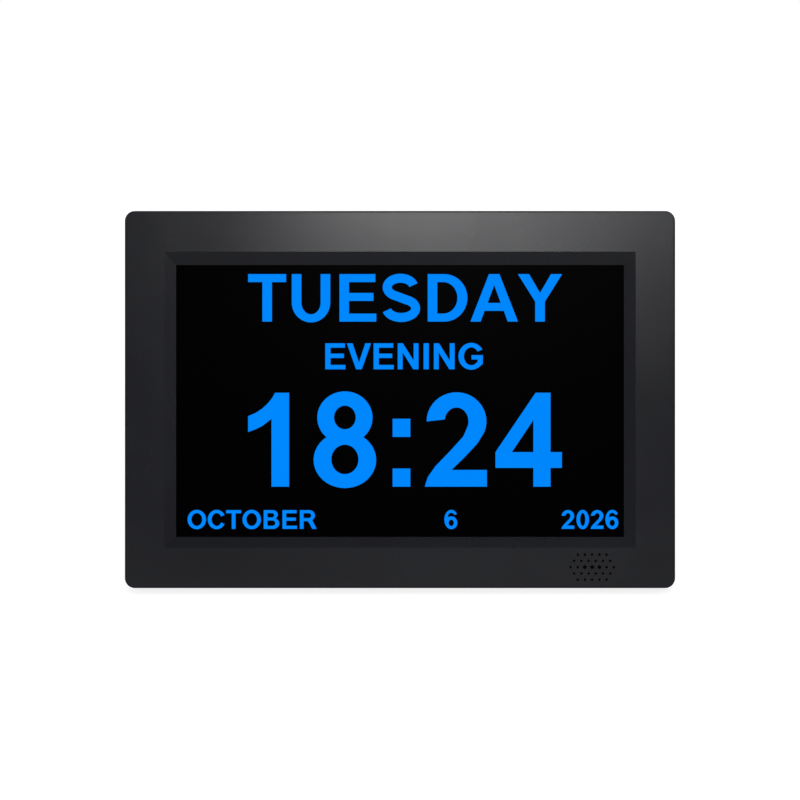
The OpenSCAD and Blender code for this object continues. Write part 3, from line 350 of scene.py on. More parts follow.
def corner_normal(face, fan, region, regions, sharp):
    """The mean normal of the largest regions round a corner that lie nearly in the face's own plane."""
    around = sorted({region[f.index] for f in fan})
    largest = max(regions[number][0] for number in around)
    flats = [regions[number][1] for number in around if regions[number][0] * far_larger > largest]
    own = regions[region[face.index]][1]
    nearest = min(flats, key=lambda normal: own.angle(normal, 0))
    return sum((n for n in flats if n.angle(nearest, 0) < sharp), Vector()).normalized()


def shade_as_made(mesh, sharp_degrees):
    """Normals of a real part: flat up to a fillet's edge, smooth over the fillet, crisp at an edge."""
    mesh.shade_smooth()
    soup = bmesh.new()
    soup.from_mesh(mesh)
    soup.faces.index_update()
    soup.normal_update()
    sharp = math.radians(sharp_degrees)
    region, regions = flat_regions(soup)
    keep_crisp(soup, region, regions, sharp)
    normals = [corner_normal(face, corner_fan(corner), region, regions, sharp)
               for face in soup.faces for corner in face.loops]
    soup.to_mesh(mesh)
    soup.free()
    mesh.normals_split_custom_set(normals)


def merged(mesh):
    """A CAD node's loose triangles, joined where their corners meet."""
    soup = bmesh.new()
    soup.from_mesh(mesh)
    bmesh.ops.remove_doubles(soup, verts=soup.verts, dist=1e-6)
    return soup


def moulding(name, node_name, sharp_degrees=32):
    """A merged copy of a CAD node in its place, with a real part's shading."""
    mesh = frame["nodes"][node_name].data.copy()
    mesh.name = name
    soup = merged(mesh)
    bmesh.ops.dissolve_degenerate(soup, edges=soup.edges, dist=1e-7)
    soup.to_mesh(mesh)
    soup.free()
    shade_as_made(mesh, sharp_degrees)
    obj = added(name, mesh)
    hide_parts(node_name)
    return obj


satin_front = moulded_plastic("satin_front_plastic", charcoal, front_roughness, 3200.0, 1.5e-6)
bevel_sharp = 20
dress(moulding("front_shell", "front_bezel", bevel_sharp), satin_front, "housing")

# ---- Display gasket ----
# A frame die-cut from black closed-cell foam, pressed between the bezel and the display module.
# It keeps dust off the glass and takes up the play between the two.
opened_cell, hollow_painted_shade = 0.28, 0.4


def make_cut_cells():
    """Cut foam: round cells side by side, with a hollow where the cut has opened one."""
    tree, given, result = effect("cut_cells", {"Place": "Vector", "Cells": 2500.0}, "Height", "Hollow")
    reach = node(tree, "ShaderNodeTexVoronoi", Vector=given["Place"], Scale=given["Cells"])["Distance"]
    feed(tree, result, Height=reach, Hollow=maths(tree, "LESS_THAN", reach, opened_cell))
    return tree


cut_cells = make_cut_cells()


def foam(name, colour, cells, depth):
    material, tree, shader = finish(name, colour, 0.9, 0.2)
    cut = use(tree, cut_cells, Place=own_place(tree), Cells=cells)
    # The hollows of opened cells are painted darker: painted shade inside the cells' recesses.
    feed(tree, shader, Base_Color=tinted(tree, cut["Hollow"], colour, shaded(colour, hollow_painted_shade)),
         Normal=bumped(tree, cut["Height"], depth))
    return material


def coat(material, *node_names):
    """Gives CAD nodes, whose shape stays, their material."""
    for name in node_names:
        frame["nodes"][name].data.materials.clear()
        frame["nodes"][name].data.materials.append(material)


coat(foam("black_foam", (0.012, 0.012, 0.013), 2600.0, 6e-5), "display_gasket", "speaker_seal")

# ---- Display cell ----
# Two thin glass sheets with the liquid crystal between them, and on the lower ledge two driver
# chips. The front polariser is an anti-glare film, deep black where nothing behind it is lit.
film_black = (0.0004, 0.0004, 0.0005)
anti_glare, tree, shader = finish("anti_glare_film", film_black, 0.3, 0.012)
sparkle = noise(tree, own_place(tree), 5200.0, 1.0)
feed(tree, shader, Normal=bumped(tree, sparkle, 1.0e-6), Roughness=spread(tree, sparkle, 0.28, 0.33))
coat(anti_glare, "front_polariser")


def housing_place(tree):
    """Places in the housing's own frame, for patterns that lie square to it."""
    return node(tree, "ShaderNodeMapping", Vector=own_place(tree), Location=to_housing.to_translation(),
                Rotation=to_housing.to_euler())[0]


def across(tree, axis):
    """One coordinate in the housing's own frame."""
    return node(tree, "ShaderNodeSeparateXYZ", housing_place(tree))[axis]


def make_even_lines():
    """Straight lines at an even pitch, as in a flat cable or a screen's columns."""
    tree, given, result = effect("even_lines", {"Along": 0.0, "Pitch": 1 * MM, "Share": 0.5}, "Line")
    along = maths(tree, "FRACT", maths(tree, "DIVIDE", given["Along"], given["Pitch"]))
    feed(tree, result, Line=maths(tree, "LESS_THAN", along, given["Share"]))
    return tree


even_lines = make_even_lines()
pixel_pitch, wire_share = 0.22 * MM, 0.3


def screen_glass(name, colour, line_colour):
    """Clear glass with the screen's fine columns on it."""
    material, tree, shader = finish(name, colour, 0.06)
    line = use(tree, even_lines, Along=across(tree, "X"), Pitch=pixel_pitch, Share=wire_share)["Line"]
    feed(tree, shader, Base_Color=tinted(tree, line, colour, line_colour),
         Roughness=spread(tree, line, 0.05, 0.12, 0, 1), Transmission_Weight=0.85)
    return material


coat(screen_glass("colour_filter_glass", (0.35, 0.5, 0.52), (0.12, 0.2, 0.26)), "colour_filter_glass")
coat(screen_glass("thin_film_glass", (0.5, 0.62, 0.62), (0.3, 0.34, 0.3)), "tft_glass")


def moulded_epoxy(name, colour, roughness=0.55):
    return moulded_plastic(name, colour, roughness, 5200.0, 4e-6, 0.12, 0.06, 0.4)


coat(moulded_epoxy("bare_silicon", (0.03, 0.032, 0.04), 0.22), "driver_chips")

# ---- Picture ----
# What the display shows, lit in one blue in the bold plain letters of such a clock: the day's name,
# the part of the day, the time, and the date along the bottom.
lit_blue = (0.0, 0.246, 1.0)


def arc(x, y, rx, ry, start, end, step=9.0):
    """Points along an ellipse from start to end, in degrees."""
    count = max(2, round(abs(end - start) / step))
    turns = [math.radians(start + (end - start) * i / count) for i in range(count + 1)]
    return [(x + rx * math.cos(t), y + ry * math.sin(t)) for t in turns]


def oval(x, y, rx, ry):
    """A closed ellipse: its last point stops one step short of its first."""
    return arc(x, y, rx, ry, 0, 351)


def bowl(left, x, y, rx, ry):
    """A half ellipse with a straight upright side at its left."""
    return [(left, y - ry), (left, y + ry)] + arc(x, y, rx, ry, 90, -90)


def band(path, thickness):
    """The outline of a stroke of even thickness along a path."""
    left, right = [], []
    for i, (x, y) in enumerate(path):
        ax, ay = path[max(i - 1, 0)]
        bx, by = path[min(i + 1, len(path) - 1)]
        length = math.hypot(bx - ax, by - ay)
        sx, sy = -(by - ay) / length * thickness / 2, (bx - ax) / length * thickness / 2
        left.append((x + sx, y + sy))
        right.append((x - sx, y - sy))
    return left + right[::-1]


def oblong(x0, y0, x1, y1):
    return [(x0, y0), (x1, y0), (x1, y1), (x0, y1)]


# Letters and digits for capitals one unit high: the space each takes, then its outlines
stem = [(0.1, 0), (0.1, 1)]
letters = {
    "A": (1.0, [[(0, 0), (0.39, 1), (0.61, 1), (1, 0), (0.785, 0), (0.703, 0.227), (0.297, 0.227),
                 (0.215, 0)], [(0.362, 0.393), (0.638, 0.393), (0.5, 0.772)]]),
    "B": (1.0, [stem + arc(0.58, 0.762, 0.275, 0.238, 90, -58) + arc(0.6, 0.287, 0.33, 0.287, 58, -90),
                bowl(0.3, 0.545, 0.725, 0.115, 0.115), bowl(0.3, 0.57, 0.3065, 0.15, 0.1415)]),
    "C": (1.0, [arc(0.52, 0.5, 0.475, 0.517, 28, 332) + arc(0.52, 0.5, 0.268, 0.345, 332, 28)]),
    "D": (1.0, [bowl(0.1, 0.45, 0.5, 0.485, 0.5), bowl(0.3, 0.43, 0.5, 0.295, 0.332)]),
    "E": (0.93, [stem + [(0.855, 1), (0.855, 0.832), (0.3, 0.832), (0.3, 0.603), (0.815, 0.603),
                         (0.815, 0.436), (0.3, 0.436), (0.3, 0.168), (0.875, 0.168), (0.875, 0)]]),
    "G": (1.08, [arc(0.54, 0.5, 0.495, 0.517, 30, 312) + [
                     (0.94, 0.17), (0.985, 0.21), (0.985, 0.545), (0.55, 0.545), (0.55, 0.378),
                     (0.782, 0.378), (0.782, 0.255)] + arc(0.54, 0.5, 0.285, 0.345, 318, 33)]),
    "I": (0.39, [oblong(0.095, 0, 0.295, 1)]),
    "N": (1.0, [stem + [(0.295, 1), (0.712, 0.332), (0.712, 1), (0.898, 1), (0.898, 0), (0.697, 0),
                        (0.286, 0.652), (0.286, 0)]]),
    "O": (1.08, [oval(0.54, 0.5, 0.493, 0.517), oval(0.54, 0.5, 0.285, 0.345)]),
    "R": (1.0, [stem + arc(0.6, 0.715, 0.305, 0.285, 90, -58) + [
                    (0.82, 0.345), (0.995, 0), (0.762, 0), (0.61, 0.29), (0.55, 0.378), (0.475, 0.415),
                    (0.3, 0.415), (0.3, 0)], bowl(0.3, 0.58, 0.707, 0.125, 0.129)]),
    "S": (0.93, [band(arc(0.455, 0.722, 0.28, 0.192, 14, 248)
                      + arc(0.47, 0.278, 0.305, 0.192, 68, -168), 0.188)]),
    "T": (0.85, [[(0.025, 1), (0.825, 1), (0.825, 0.832), (0.526, 0.832), (0.526, 0), (0.325, 0),
                  (0.325, 0.832), (0.025, 0.832)]]),
    "U": (1.0, [[(0.095, 1), (0.297, 1)] + arc(0.5, 0.4, 0.203, 0.247, 180, 360)
                + [(0.703, 1), (0.905, 1)] + arc(0.5, 0.4, 0.405, 0.417, 0, -180)]),
    "V": (0.93, [[(0, 1), (0.22, 1), (0.466, 0.262), (0.71, 1), (0.93, 1), (0.573, 0), (0.358, 0)]]),
    "Y": (0.93, [[(0, 1), (0.235, 1), (0.466, 0.603), (0.697, 1), (0.93, 1), (0.567, 0.42), (0.567, 0),
                  (0.365, 0), (0.365, 0.42)]]),
    "0": (0.78, [oval(0.388, 0.5, 0.335, 0.515), oval(0.388, 0.5, 0.137, 0.35)]),
    "1": (0.78, [[(0.552, 0), (0.552, 1), (0.398, 1), (0.364, 0.942), (0.319, 0.888), (0.263, 0.837),
                  (0.184, 0.785), (0.1, 0.751), (0.1, 0.582), (0.184, 0.612), (0.263, 0.651),
                  (0.358, 0.722), (0.358, 0)]]),
    "2": (0.78, [arc(0.38, 0.695, 0.33, 0.31, 180, -22) + [
                     (0.61, 0.46), (0.47, 0.315), (0.325, 0.178), (0.715, 0.178), (0.715, 0), (0.03, 0),
                     (0.062, 0.1), (0.145, 0.215), (0.32, 0.39), (0.455, 0.535)]
                 + arc(0.38, 0.695, 0.132, 0.148, -20, 172)]),
    "4": (0.78, [[(0.448, 0), (0.448, 0.2), (0.03, 0.2), (0.03, 0.368), (0.473, 1), (0.637, 1),
                  (0.637, 0.368), (0.762, 0.368), (0.762, 0.2), (0.637, 0.2), (0.637, 0)],
                 [(0.448, 0.368), (0.448, 0.71), (0.21, 0.368)]]),
    "6": (0.78, [arc(0.41, 0.7, 0.3, 0.315, 14, 90) + arc(0.41, 0.5, 0.372, 0.515, 96, 270)
                 + arc(0.405, 0.325, 0.325, 0.34, -84, 126) + arc(0.405, 0.69, 0.168, 0.168, 180, 22),
                 oval(0.405, 0.32, 0.137, 0.172)]),
    "8": (0.78, [arc(0.388, 0.735, 0.305, 0.28, -48, 228) + arc(0.388, 0.285, 0.345, 0.3, 125, 415),
                 oval(0.388, 0.737, 0.12, 0.126), oval(0.388, 0.29, 0.15, 0.157)]),
    ":": (0.46, [oblong(0.135, 0, 0.33, 0.193), oblong(0.135, 0.53, 0.33, 0.723)]),
}


def prism(soup, contours, place, front_y, back_y):
    """A closed plate: contours in the housing's X and Z, moved by place, between two depths."""
    points = [[Vector((x, y, 0)) for x, y in contour] for contour in contours]
    flat = [p for contour in points for p in contour]
    rings = [[soup.verts.new(housing @ Vector((place[0] + p.x, depth, place[1] + p.y))) for p in flat]
             for depth in (front_y, back_y)]
    for face in tessellate_polygon(points):
        for ring in rings:
            soup.faces.new([ring[i] for i in face])
    first = 0
    for contour in points:
        for i in range(len(contour)):
            a, b = first + i, first + (i + 1) % len(contour)
            soup.faces.new((rings[0][a], rings[0][b], rings[1][b], rings[1][a]))
        first += len(contour)


def plates(name, soup):
    """The object made of the prisms in soup, with its faces turned outwards."""
    bmesh.ops.recalc_face_normals(soup, faces=soup.faces)
    mesh = bpy.data.meshes.new(name)
    soup.to_mesh(mesh)
    soup.free()
    return added(name, mesh)


film_front = turned_box("front_polariser", to_housing)[0].y
lit_depths = (film_front - 0.06 * MM, film_front - 0.01 * MM)
centred, from_left, up_to_right = 0.5, 0.0, 1.0


def words(soup, text, x, bottom, height, align=centred, narrow=1.0):
    """Writes text about, from or up to x, with its baseline at bottom; sizes are in millimetres."""
    wide, high = height * MM * narrow, height * MM
    left = x * MM - align * wide * sum(letters[c][0] for c in text)
    for c in text:
        advance, contours = letters[c]
        scaled = [[(px * wide, py * high) for px, py in contour] for contour in contours]
        prism(soup, scaled, (left, bottom * MM), *lit_depths)
        left += advance * wide


# Baselines are heights above the housing's bottom edge, and x is from its middle
soup = bmesh.new()
words(soup, "TUESDAY", 1.8, 106.6, 19.0)
words(soup, "EVENING", 1.6, 87.5, 10.4)
words(soup, "18:24", 0.5, 40.5, 37.6, centred, 0.965)
words(soup, "OCTOBER", -85.4, 23.6, 7.5, from_left)
words(soup, "6", 20.4, 23.6, 7.5)
words(soup, "2026", 87.8, 23.6, 7.5, up_to_right)
picture = plates("lit_words", soup)
pixels, tree, shader = finish("lit_blue_pixels", (0, 0, 0), 0.5, 0.0)
shade = spread(tree, noise(tree, own_place(tree), 40.0, 1.0), 0, 1)
glow = tinted(tree, shade, shaded(lit_blue, 0.97), lit_blue)
feed(tree, shader, Emission_Color=glow, Emission_Strength=1.0)
dress(picture, pixels, "housing")

# ---- Backlight ----
# White light-emitting diodes on a strip shine into the edge of an acrylic guide, whose printed dots
# throw the light forward through the diffuser films. A white sheet behind it sends back the rest.
dot_dullness = 0.4


def make_dot_print():
    """Dots printed in rows on a sheet; Radius is a share of their pitch."""
    inputs = {"Across": 0.0, "Up": 0.0, "Pitch": 2 * MM, "Radius": 0.3}
    tree, given, result = effect("dot_print", inputs, "Dot")
    off = []
    for axis in ("Across", "Up"):
        along = maths(tree, "FRACT", maths(tree, "DIVIDE", given[axis], given["Pitch"]))
        off.append(maths(tree, "POWER", maths(tree, "SUBTRACT", along, 0.5), 2.0))
    reach = maths(tree, "POWER", given["Radius"], 2.0)
    feed(tree, result, Dot=maths(tree, "LESS_THAN", maths(tree, "ADD", *off), reach))
    return tree


dot_print = make_dot_print()


def sheet_film(name, colour, roughness, pitch, radius, dot_colour, clearness=0.0):
    """A plastic film or sheet with printed or embossed dots."""
    material, tree, shader = finish(name, colour, roughness)
    place = {"Across": across(tree, "X"), "Up": across(tree, "Z")}
    dot = use(tree, dot_print, Pitch=pitch, Radius=radius, **place)["Dot"]
    feed(tree, shader, Base_Color=tinted(tree, dot, colour, dot_colour), Transmission_Weight=clearness,
         Roughness=spread(tree, dot, roughness, min(1.0, roughness + dot_dullness), 0, 1))
    return material


acrylic = sheet_film("guide_acrylic", (0.9, 0.95, 0.96), 0.05, 1.6 * MM, 0.24, (0.95, 0.95, 0.95), 0.9)
coat(acrylic, "light_guide")
diffuser = sheet_film("diffuser_film", (0.86, 0.88, 0.9), 0.35, 0.3 * MM, 0.3, (0.8, 0.82, 0.85), 0.3)
coat(diffuser, "optical_films")
reflector = sheet_film("white_reflector", (0.86, 0.86, 0.84), 0.3, 0.5 * MM, 0.2, (0.8, 0.8, 0.78))
coat(reflector, "reflector_sheet")

tape_white = (0.8, 0.8, 0.78)
tape_top = turned_box("led_strip", to_housing)[0].z + 0.42 * MM
diode_tape, tree, shader = finish("diode_strip", tape_white, 0.4)
on_tape = maths(tree, "LESS_THAN", across(tree, "Z"), tape_top)
stain = spread(tree, noise(tree, own_place(tree), 900.0, 2.0), 0, 1)
phosphor = tinted(tree, stain, (0.78, 0.6, 0.1), (0.85, 0.7, 0.2))
feed(tree, shader, Base_Color=tinted(tree, on_tape, phosphor, tape_white))
coat(diode_tape, "led_strip")

# ---- Display module's frame, can and ribbon ----
# A white moulded frame keeps the stack square, and a can pressed from tin-plated sheet closes it at
# the back. An amber flexible circuit bends round the lower edge to the main board.
white_mould = moulded_plastic("white_mould", (0.78, 0.78, 0.74), 0.42, 2600.0, 8e-6, 0.03)
coat(white_mould, "display_mould_frame")
slow_share = 0.02
glossy, dull = 0.8, 1.25


def make_rolled_grain():
    """Marks in metal drawn out along its rolling or turning, and slow stains."""
    tree, given, result = effect("rolled_grain", {"Place": "Vector", "Streaks": 4000.0}, "Streak", "Stain")
    slow = maths(tree, "MULTIPLY", given["Streaks"], slow_share)
    feed(tree, result, Streak=noise(tree, given["Place"], given["Streaks"], 2.0),
         Stain=noise(tree, given["Place"], slow, 3.0))
    return tree


rolled_grain = make_rolled_grain()
along_x, along_y, across_x = (0.04, 1, 1), (1, 0.04, 1), (0.04, 0.04, 1)


def metal(name, colour, roughness, stretch, streaks=4000.0, depth=4e-7, stain=0.14):
    """Metal with its rolling or turning marks, drawn out along the axes whose stretch is small."""
    material, tree, shader = finish(name, colour, roughness, 0.5, 1.0)
    drawn = node(tree, "ShaderNodeMapping", Vector=housing_place(tree), Scale=stretch)[0]
    grain = use(tree, rolled_grain, Place=drawn, Streaks=streaks)
    tone = tinted(tree, spread(tree, grain["Stain"], 0, 1), shaded(colour, 1 - stain), colour)
    gloss = spread(tree, grain["Streak"], roughness * glossy, roughness * dull)
    feed(tree, shader, Base_Color=tone, Roughness=gloss, Normal=bumped(tree, grain["Streak"], depth))
    return material


tin_plate = metal("tin_plate", (0.62, 0.62, 0.6), 0.28, along_x)
coat(tin_plate, "display_back_can", "display_brackets")


def flat_cable(name, colour, line_colour, axis, pitch, share, roughness):
    """Flat cable: straight conductors seen through its film."""
    material, tree, shader = finish(name, colour, roughness)
    line = use(tree, even_lines, Along=across(tree, axis), Pitch=pitch, Share=share)["Line"]
    feed(tree, shader, Base_Color=tinted(tree, line, colour, line_colour), Normal=bumped(tree, line, 2e-5))
    return material


amber_film = flat_cable("amber_flex", (0.42, 0.16, 0.03), (0.62, 0.3, 0.08), "X", 0.5 * MM, 0.6, 0.25)
coat(amber_film, "display_ribbon")

# ---- Screws ----
# Self-tapping pan-head screws with a cross recess: black-zinc ones through the rear cover, and small
# bright ones for the display's brackets, the main board and the key board. The shares are of the
# head's radius and height, of the thread's radius, and of the straight shank's length.
collar_share, crown_share = 0.4, 0.72
slot_length, slot_width, slot_depths = 1.1, 0.24, (0.9, 0.84)
core_share, point_share, tip_share = 0.76, 0.2, 0.7
pitch_share, helix_share, ridge_share = 0.62, 0.82, 0.17
threaded_share, thread_start = 0.9, 0.98


def xyz(tree, *values, **named):
    return node(tree, "ShaderNodeCombineXYZ", *values, **named)[0]


def form(tree, kind, *values, **named):
    """The geometry that a node puts out."""
    return node(tree, "GeometryNode" + kind, *values, **named)[0]


def moved(tree, body, z=0.0, **turn):
    """A body lifted by z, and turned if a Rotation is given."""
    return form(tree, "Transform", Geometry=body, Translation=xyz(tree, Z=z), **turn)


def about(tree, **angles):
    """A turn about the named axes."""
    return node(tree, "FunctionNodeEulerToRotation", xyz(tree, **angles))[0]


def finish_row(tree, points, body, material, result, **turn):
    """Ends a tree with the body at each point, as real geometry in its material."""
    row = form(tree, "InstanceOnPoints", Points=points, Instance=body, **turn)
    solid = form(tree, "RealizeInstances", row)
    feed(tree, result, form(tree, "SetMaterial", Geometry=solid, Material=material))


def make_screw_tree():
    """A screw at each point of the host, its head towards the back (Side 1) or the face (Side -1)."""
    tree, given, result = node_group("cross_head_screws", "GeometryNodeTree", {
        "Geometry": "Geometry", "Head radius": 2.8 * MM, "Head height": 2.0 * MM, "Thread radius": 1.3 * MM,
        "Length": 8.0 * MM, "Side": 1.0, "Seed": 5, "Steel": "Material"}, {"Geometry": "Geometry"})
    sizes = ("Head radius", "Head height", "Thread radius", "Length")
    head_r, head_h, thread_r, length = (given[size] for size in sizes)

    def part(value, share):
        return maths(tree, "MULTIPLY", value, share)

    collar_h = part(head_h, collar_share)
    collar = form(tree, "MeshCylinder", Vertices=32, Radius=head_r, Depth=collar_h)
    collar = moved(tree, collar, part(collar_h, 0.5))
    crown_r, crown_h = part(head_r, crown_share), maths(tree, "SUBTRACT", head_h, collar_h)
    crown = form(tree, "MeshCone", Vertices=32, Radius_Bottom=head_r, Radius_Top=crown_r, Depth=crown_h)
    crown = moved(tree, crown, collar_h)
    long, thin = part(head_r, slot_length), part(head_r, slot_width)
    bars = []
    for sides, depth in zip(((long, thin), (thin, long)), slot_depths):
        bar = form(tree, "MeshCube", Size=xyz(tree, *sides, part(head_h, depth)))
        bars.append(moved(tree, bar, head_h))
    cut = {"operation": "DIFFERENCE"}
    crown = form(tree, "MeshBoolean", settings=cut, Mesh_1=crown, Mesh_2=bars)
    tip_h, core_r, point_r = (part(thread_r, share) for share in (tip_share, core_share, point_share))
    straight = maths(tree, "SUBTRACT", length, tip_h)
    core = form(tree, "MeshCylinder", Vertices=20, Radius=core_r, Depth=straight)
    core = moved(tree, core, part(straight, -0.5))
    tip = form(tree, "MeshCone", Vertices=20, Radius_Top=core_r, Radius_Bottom=point_r, Depth=tip_h)
    tip = moved(tree, tip, part(length, -1.0))
    pitch, helix_r, ridge_r = (part(thread_r, share) for share in (pitch_share, helix_share, ridge_share))
    threaded = part(straight, threaded_share)
    helix = form(tree, "CurveSpiral", Resolution=16, Rotations=maths(tree, "DIVIDE", threaded, pitch),
                 Start_Radius=helix_r, End_Radius=helix_r, Height=threaded)
    ridge = form(tree, "CurvePrimitiveCircle", Resolution=3, Radius=ridge_r)
    thread = form(tree, "CurveToMesh", Curve=helix, Profile_Curve=ridge, Fill_Caps=True)
    thread = moved(tree, thread, part(straight, -thread_start))
    screw = form(tree, "JoinGeometry", [collar, crown, core, tip, thread])
    screw = moved(tree, screw, Rotation=about(tree, X=part(given["Side"], -math.pi / 2)))
    any_turn = node(tree, "FunctionNodeRandomValue", settings={"data_type": "FLOAT"}, Max=math.tau,
                    Seed=given["Seed"])["Value"]
    finish_row(tree, given["Geometry"], screw, given["Steel"], result, Rotation=about(tree, Y=any_turn))
    return tree


def grown(name, tree, points, edges=(), **values):
    """What a tree makes from points in the housing's frame and its inputs' values, as a plain mesh."""
    host = bpy.data.meshes.new(name)
    host.from_pydata(points, edges, [])
    obj = added(name, host)
    rule = obj.modifiers.new(name, "NODES")
    rule.node_group = tree
    sockets = {s.name: s.identifier for s in tree.interface.items_tree if s.in_out == "INPUT"}
    for label, value in values.items():
        rule[sockets[label.replace("_", " ")]] = value
    bpy.context.view_layer.update()
    mesh = bpy.data.meshes.new_from_object(obj.evaluated_get(bpy.context.evaluated_depsgraph_get()))
    obj.modifiers.clear()
    obj.data = mesh
    mesh.name = name
    mesh.transform(housing)
    return obj


def loose_parts(node_name):
    """Lowest and highest corner of each separate solid in a CAD node, in the housing's frame."""
    soup = merged(frame["nodes"][node_name].data)
    left, parts = set(soup.verts), []
    for start in soup.verts:
        if start not in left:
            continue
        left.discard(start)
        found, waiting = [], [start]
        while waiting:
            vert = waiting.pop()
            found.append(to_housing @ vert.co)
            fresh = {edge.other_vert(vert) for edge in vert.link_edges} & left
            left -= fresh
            waiting += fresh
        parts.append(extent(found))
    soup.free()
    return parts


screw_tree = make_screw_tree()
black_zinc = metal("black_zinc", (0.045, 0.045, 0.05), 0.34, along_y, 6000.0)
bright_zinc = metal("bright_zinc", (0.58, 0.59, 0.6), 0.26, along_y, 6000.0)
head_at_back, head_at_face = 1.0, -1.0
screw_sharp = math.radians(40)


def screws(node_name, steel, head_r, head_h, thread_r, side):
    """Threaded screws in place of a CAD node's plain ones, each head on its seat; sizes in millimetres."""
    seats = []
    for low, high in loose_parts(node_name):
        seat_y = high.y - head_h * MM if side == head_at_back else low.y + head_h * MM
        seats.append(((low.x + high.x) / 2, seat_y, (low.z + high.z) / 2))
    length = high.y - low.y - head_h * MM
    obj = grown(node_name + "_threaded", screw_tree, seats, Head_radius=head_r * MM, Head_height=head_h * MM,
                Thread_radius=thread_r * MM, Length=length, Side=side, Steel=steel)
    obj.data.shade_smooth()
    obj.data.set_sharp_from_angle(angle=screw_sharp)
    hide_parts(node_name)
    dress(obj, steel, "housing")


screws("bracket_screws", bright_zinc, 2.3, 1.5, 1.0, head_at_back)
screws("board_screws", bright_zinc, 2.4, 1.5, 1.0, head_at_face)
screws("key_board_screws", bright_zinc, 2.0, 1.2, 0.9, head_at_face)
screws("housing_screws", black_zinc, 2.8, 2.0, 1.3, head_at_back)

# ---- Main board ----
# Glass-fibre board under green solder mask, screwed to four pillars of the rear cover. It carries
# the processor, memory, power parts, the crystal that keeps the time, and the sockets.
track_gap, track_run, track_rise = 0.06, 2.6, 0.34
routed_from, pad_lanes, pad_reach = 0.45, 0.9, 0.13
over_track, tin_share, track_depth = 1.9, 0.9, 3e-5


def make_circuit_tracks():
    """Printed tracks under the solder mask, and the tinned pads that it leaves open."""
    tree, given, result = effect("circuit_tracks", {"Place": "Vector", "Lanes": 420.0}, "Track", "Pad")
    place, lanes = given["Place"], given["Lanes"]
    tracks = node(tree, "ShaderNodeTexBrick", Vector=place, Scale=lanes, Mortar_Size=track_gap,
                  Brick_Width=track_run, Row_Height=track_rise)["Fac"]
    routed = maths(tree, "GREATER_THAN", noise(tree, place, 90.0, 1.0), routed_from)
    pads = node(tree, "ShaderNodeTexVoronoi", settings={"distance": "CHEBYCHEV"}, Vector=place,
                Scale=maths(tree, "MULTIPLY", lanes, pad_lanes))["Distance"]
    feed(tree, result, Track=maths(tree, "MULTIPLY", tracks, routed),
         Pad=maths(tree, "LESS_THAN", pads, pad_reach))
    return tree


circuit_tracks = make_circuit_tracks()


def circuit_board(name, mask, lanes):
    """A printed board; its pattern lies in the plane of the housing's face."""
    material, tree, shader = finish(name, mask, 0.3)
    plane = xyz(tree, across(tree, "X"), across(tree, "Z"))
    etched = use(tree, circuit_tracks, Place=plane, Lanes=lanes)
    masked = tinted(tree, etched["Track"], mask, shaded(mask, over_track))
    feed(tree, shader, Base_Color=tinted(tree, etched["Pad"], masked, (0.55, 0.55, 0.52)),
         Metallic=maths(tree, "MULTIPLY", etched["Pad"], tin_share),
         Normal=bumped(tree, etched["Track"], track_depth))
    return material


green_board = circuit_board("green_board", (0.008, 0.09, 0.035), 420.0)
coat(green_board, "main_board", "key_board")
coat(moulded_epoxy("processor_epoxy", (0.016, 0.016, 0.018)), "processor")
coat(moulded_plastic("ferrite", (0.035, 0.036, 0.038), 0.7, 3200.0, 1.6e-5), "power_inductors")
coat(moulded_plastic("ivory_nylon", (0.74, 0.7, 0.6), 0.45, 2600.0, 8e-6), "board_connectors")
coat(metal("drawn_can", (0.6, 0.59, 0.56), 0.2, across_x), "quartz_crystal")


def with_parts(obj, material, test):
    """Gives a second material to the faces whose middle, in the housing's frame, passes the test."""
    obj.data.materials.append(material)
    for face in obj.data.polygons:
        if test(to_housing @ face.center, face):
            face.material_index = 1


tinned = metal("tinned_leads", (0.62, 0.62, 0.6), 0.3, across_x)
leg_face = 0.5e-6
leg_rise = 0.6 * MM
can_foot = 1.3 * MM
board_back = turned_box("main_board", to_housing)[1].y
memory_epoxy = moulded_epoxy("memory_epoxy", (0.018, 0.018, 0.02))
memory = dress(moulding("memory_chips_legged", "memory_chips"), memory_epoxy, "housing")
with_parts(memory, tinned, lambda middle, face: middle.y < board_back + leg_rise and face.area < leg_face)
can_base = moulded_plastic("capacitor_base", (0.05, 0.045, 0.04), 0.5, 2600.0, 8e-6)
cans = dress(moulding("capacitor_cans", "capacitors"), can_base, "housing")
aluminium = metal("aluminium_can", (0.66, 0.67, 0.68), 0.24, across_x)
with_parts(cans, aluminium, lambda middle, face: middle.y > board_back + can_foot)

# ---- Back-up cell ----
# A nickel-plated coin cell in a black moulded holder keeps the clock going through a power cut.
coat(moulded_plastic("holder_plastic", (0.014, 0.014, 0.015), 0.5, 2600.0, 8e-6), "cell_holder")
nickel = metal("nickel_plate", (0.6, 0.58, 0.54), 0.22, across_x, 3000.0)
dress(moulding("coin_cell_turned", "coin_cell"), nickel, "housing")

# ---- Sockets ----
# Power jack, USB socket and memory card slot, soldered along the board's end and open through the
# left wall. The USB tongue and the card slot carry rows of gold-flashed spring contacts.
jack_plastic = moulded_plastic("jack_plastic", (0.012, 0.012, 0.013), 0.35, 2600.0, 5e-6)
dress(moulding("power_jack", "dc_jack_body"), jack_plastic, "housing")
dress(moulding("power_jack_pin", "dc_jack_contact"), nickel, "housing")
dress(moulding("usb_shell", "usb_socket_shell"), tin_plate, "housing")
dress(moulding("usb_tongue", "usb_socket_tongue"), white_mould, "housing")
dress(moulding("card_slot", "card_socket"), tin_plate, "housing")
contact_t = 0.1 * MM


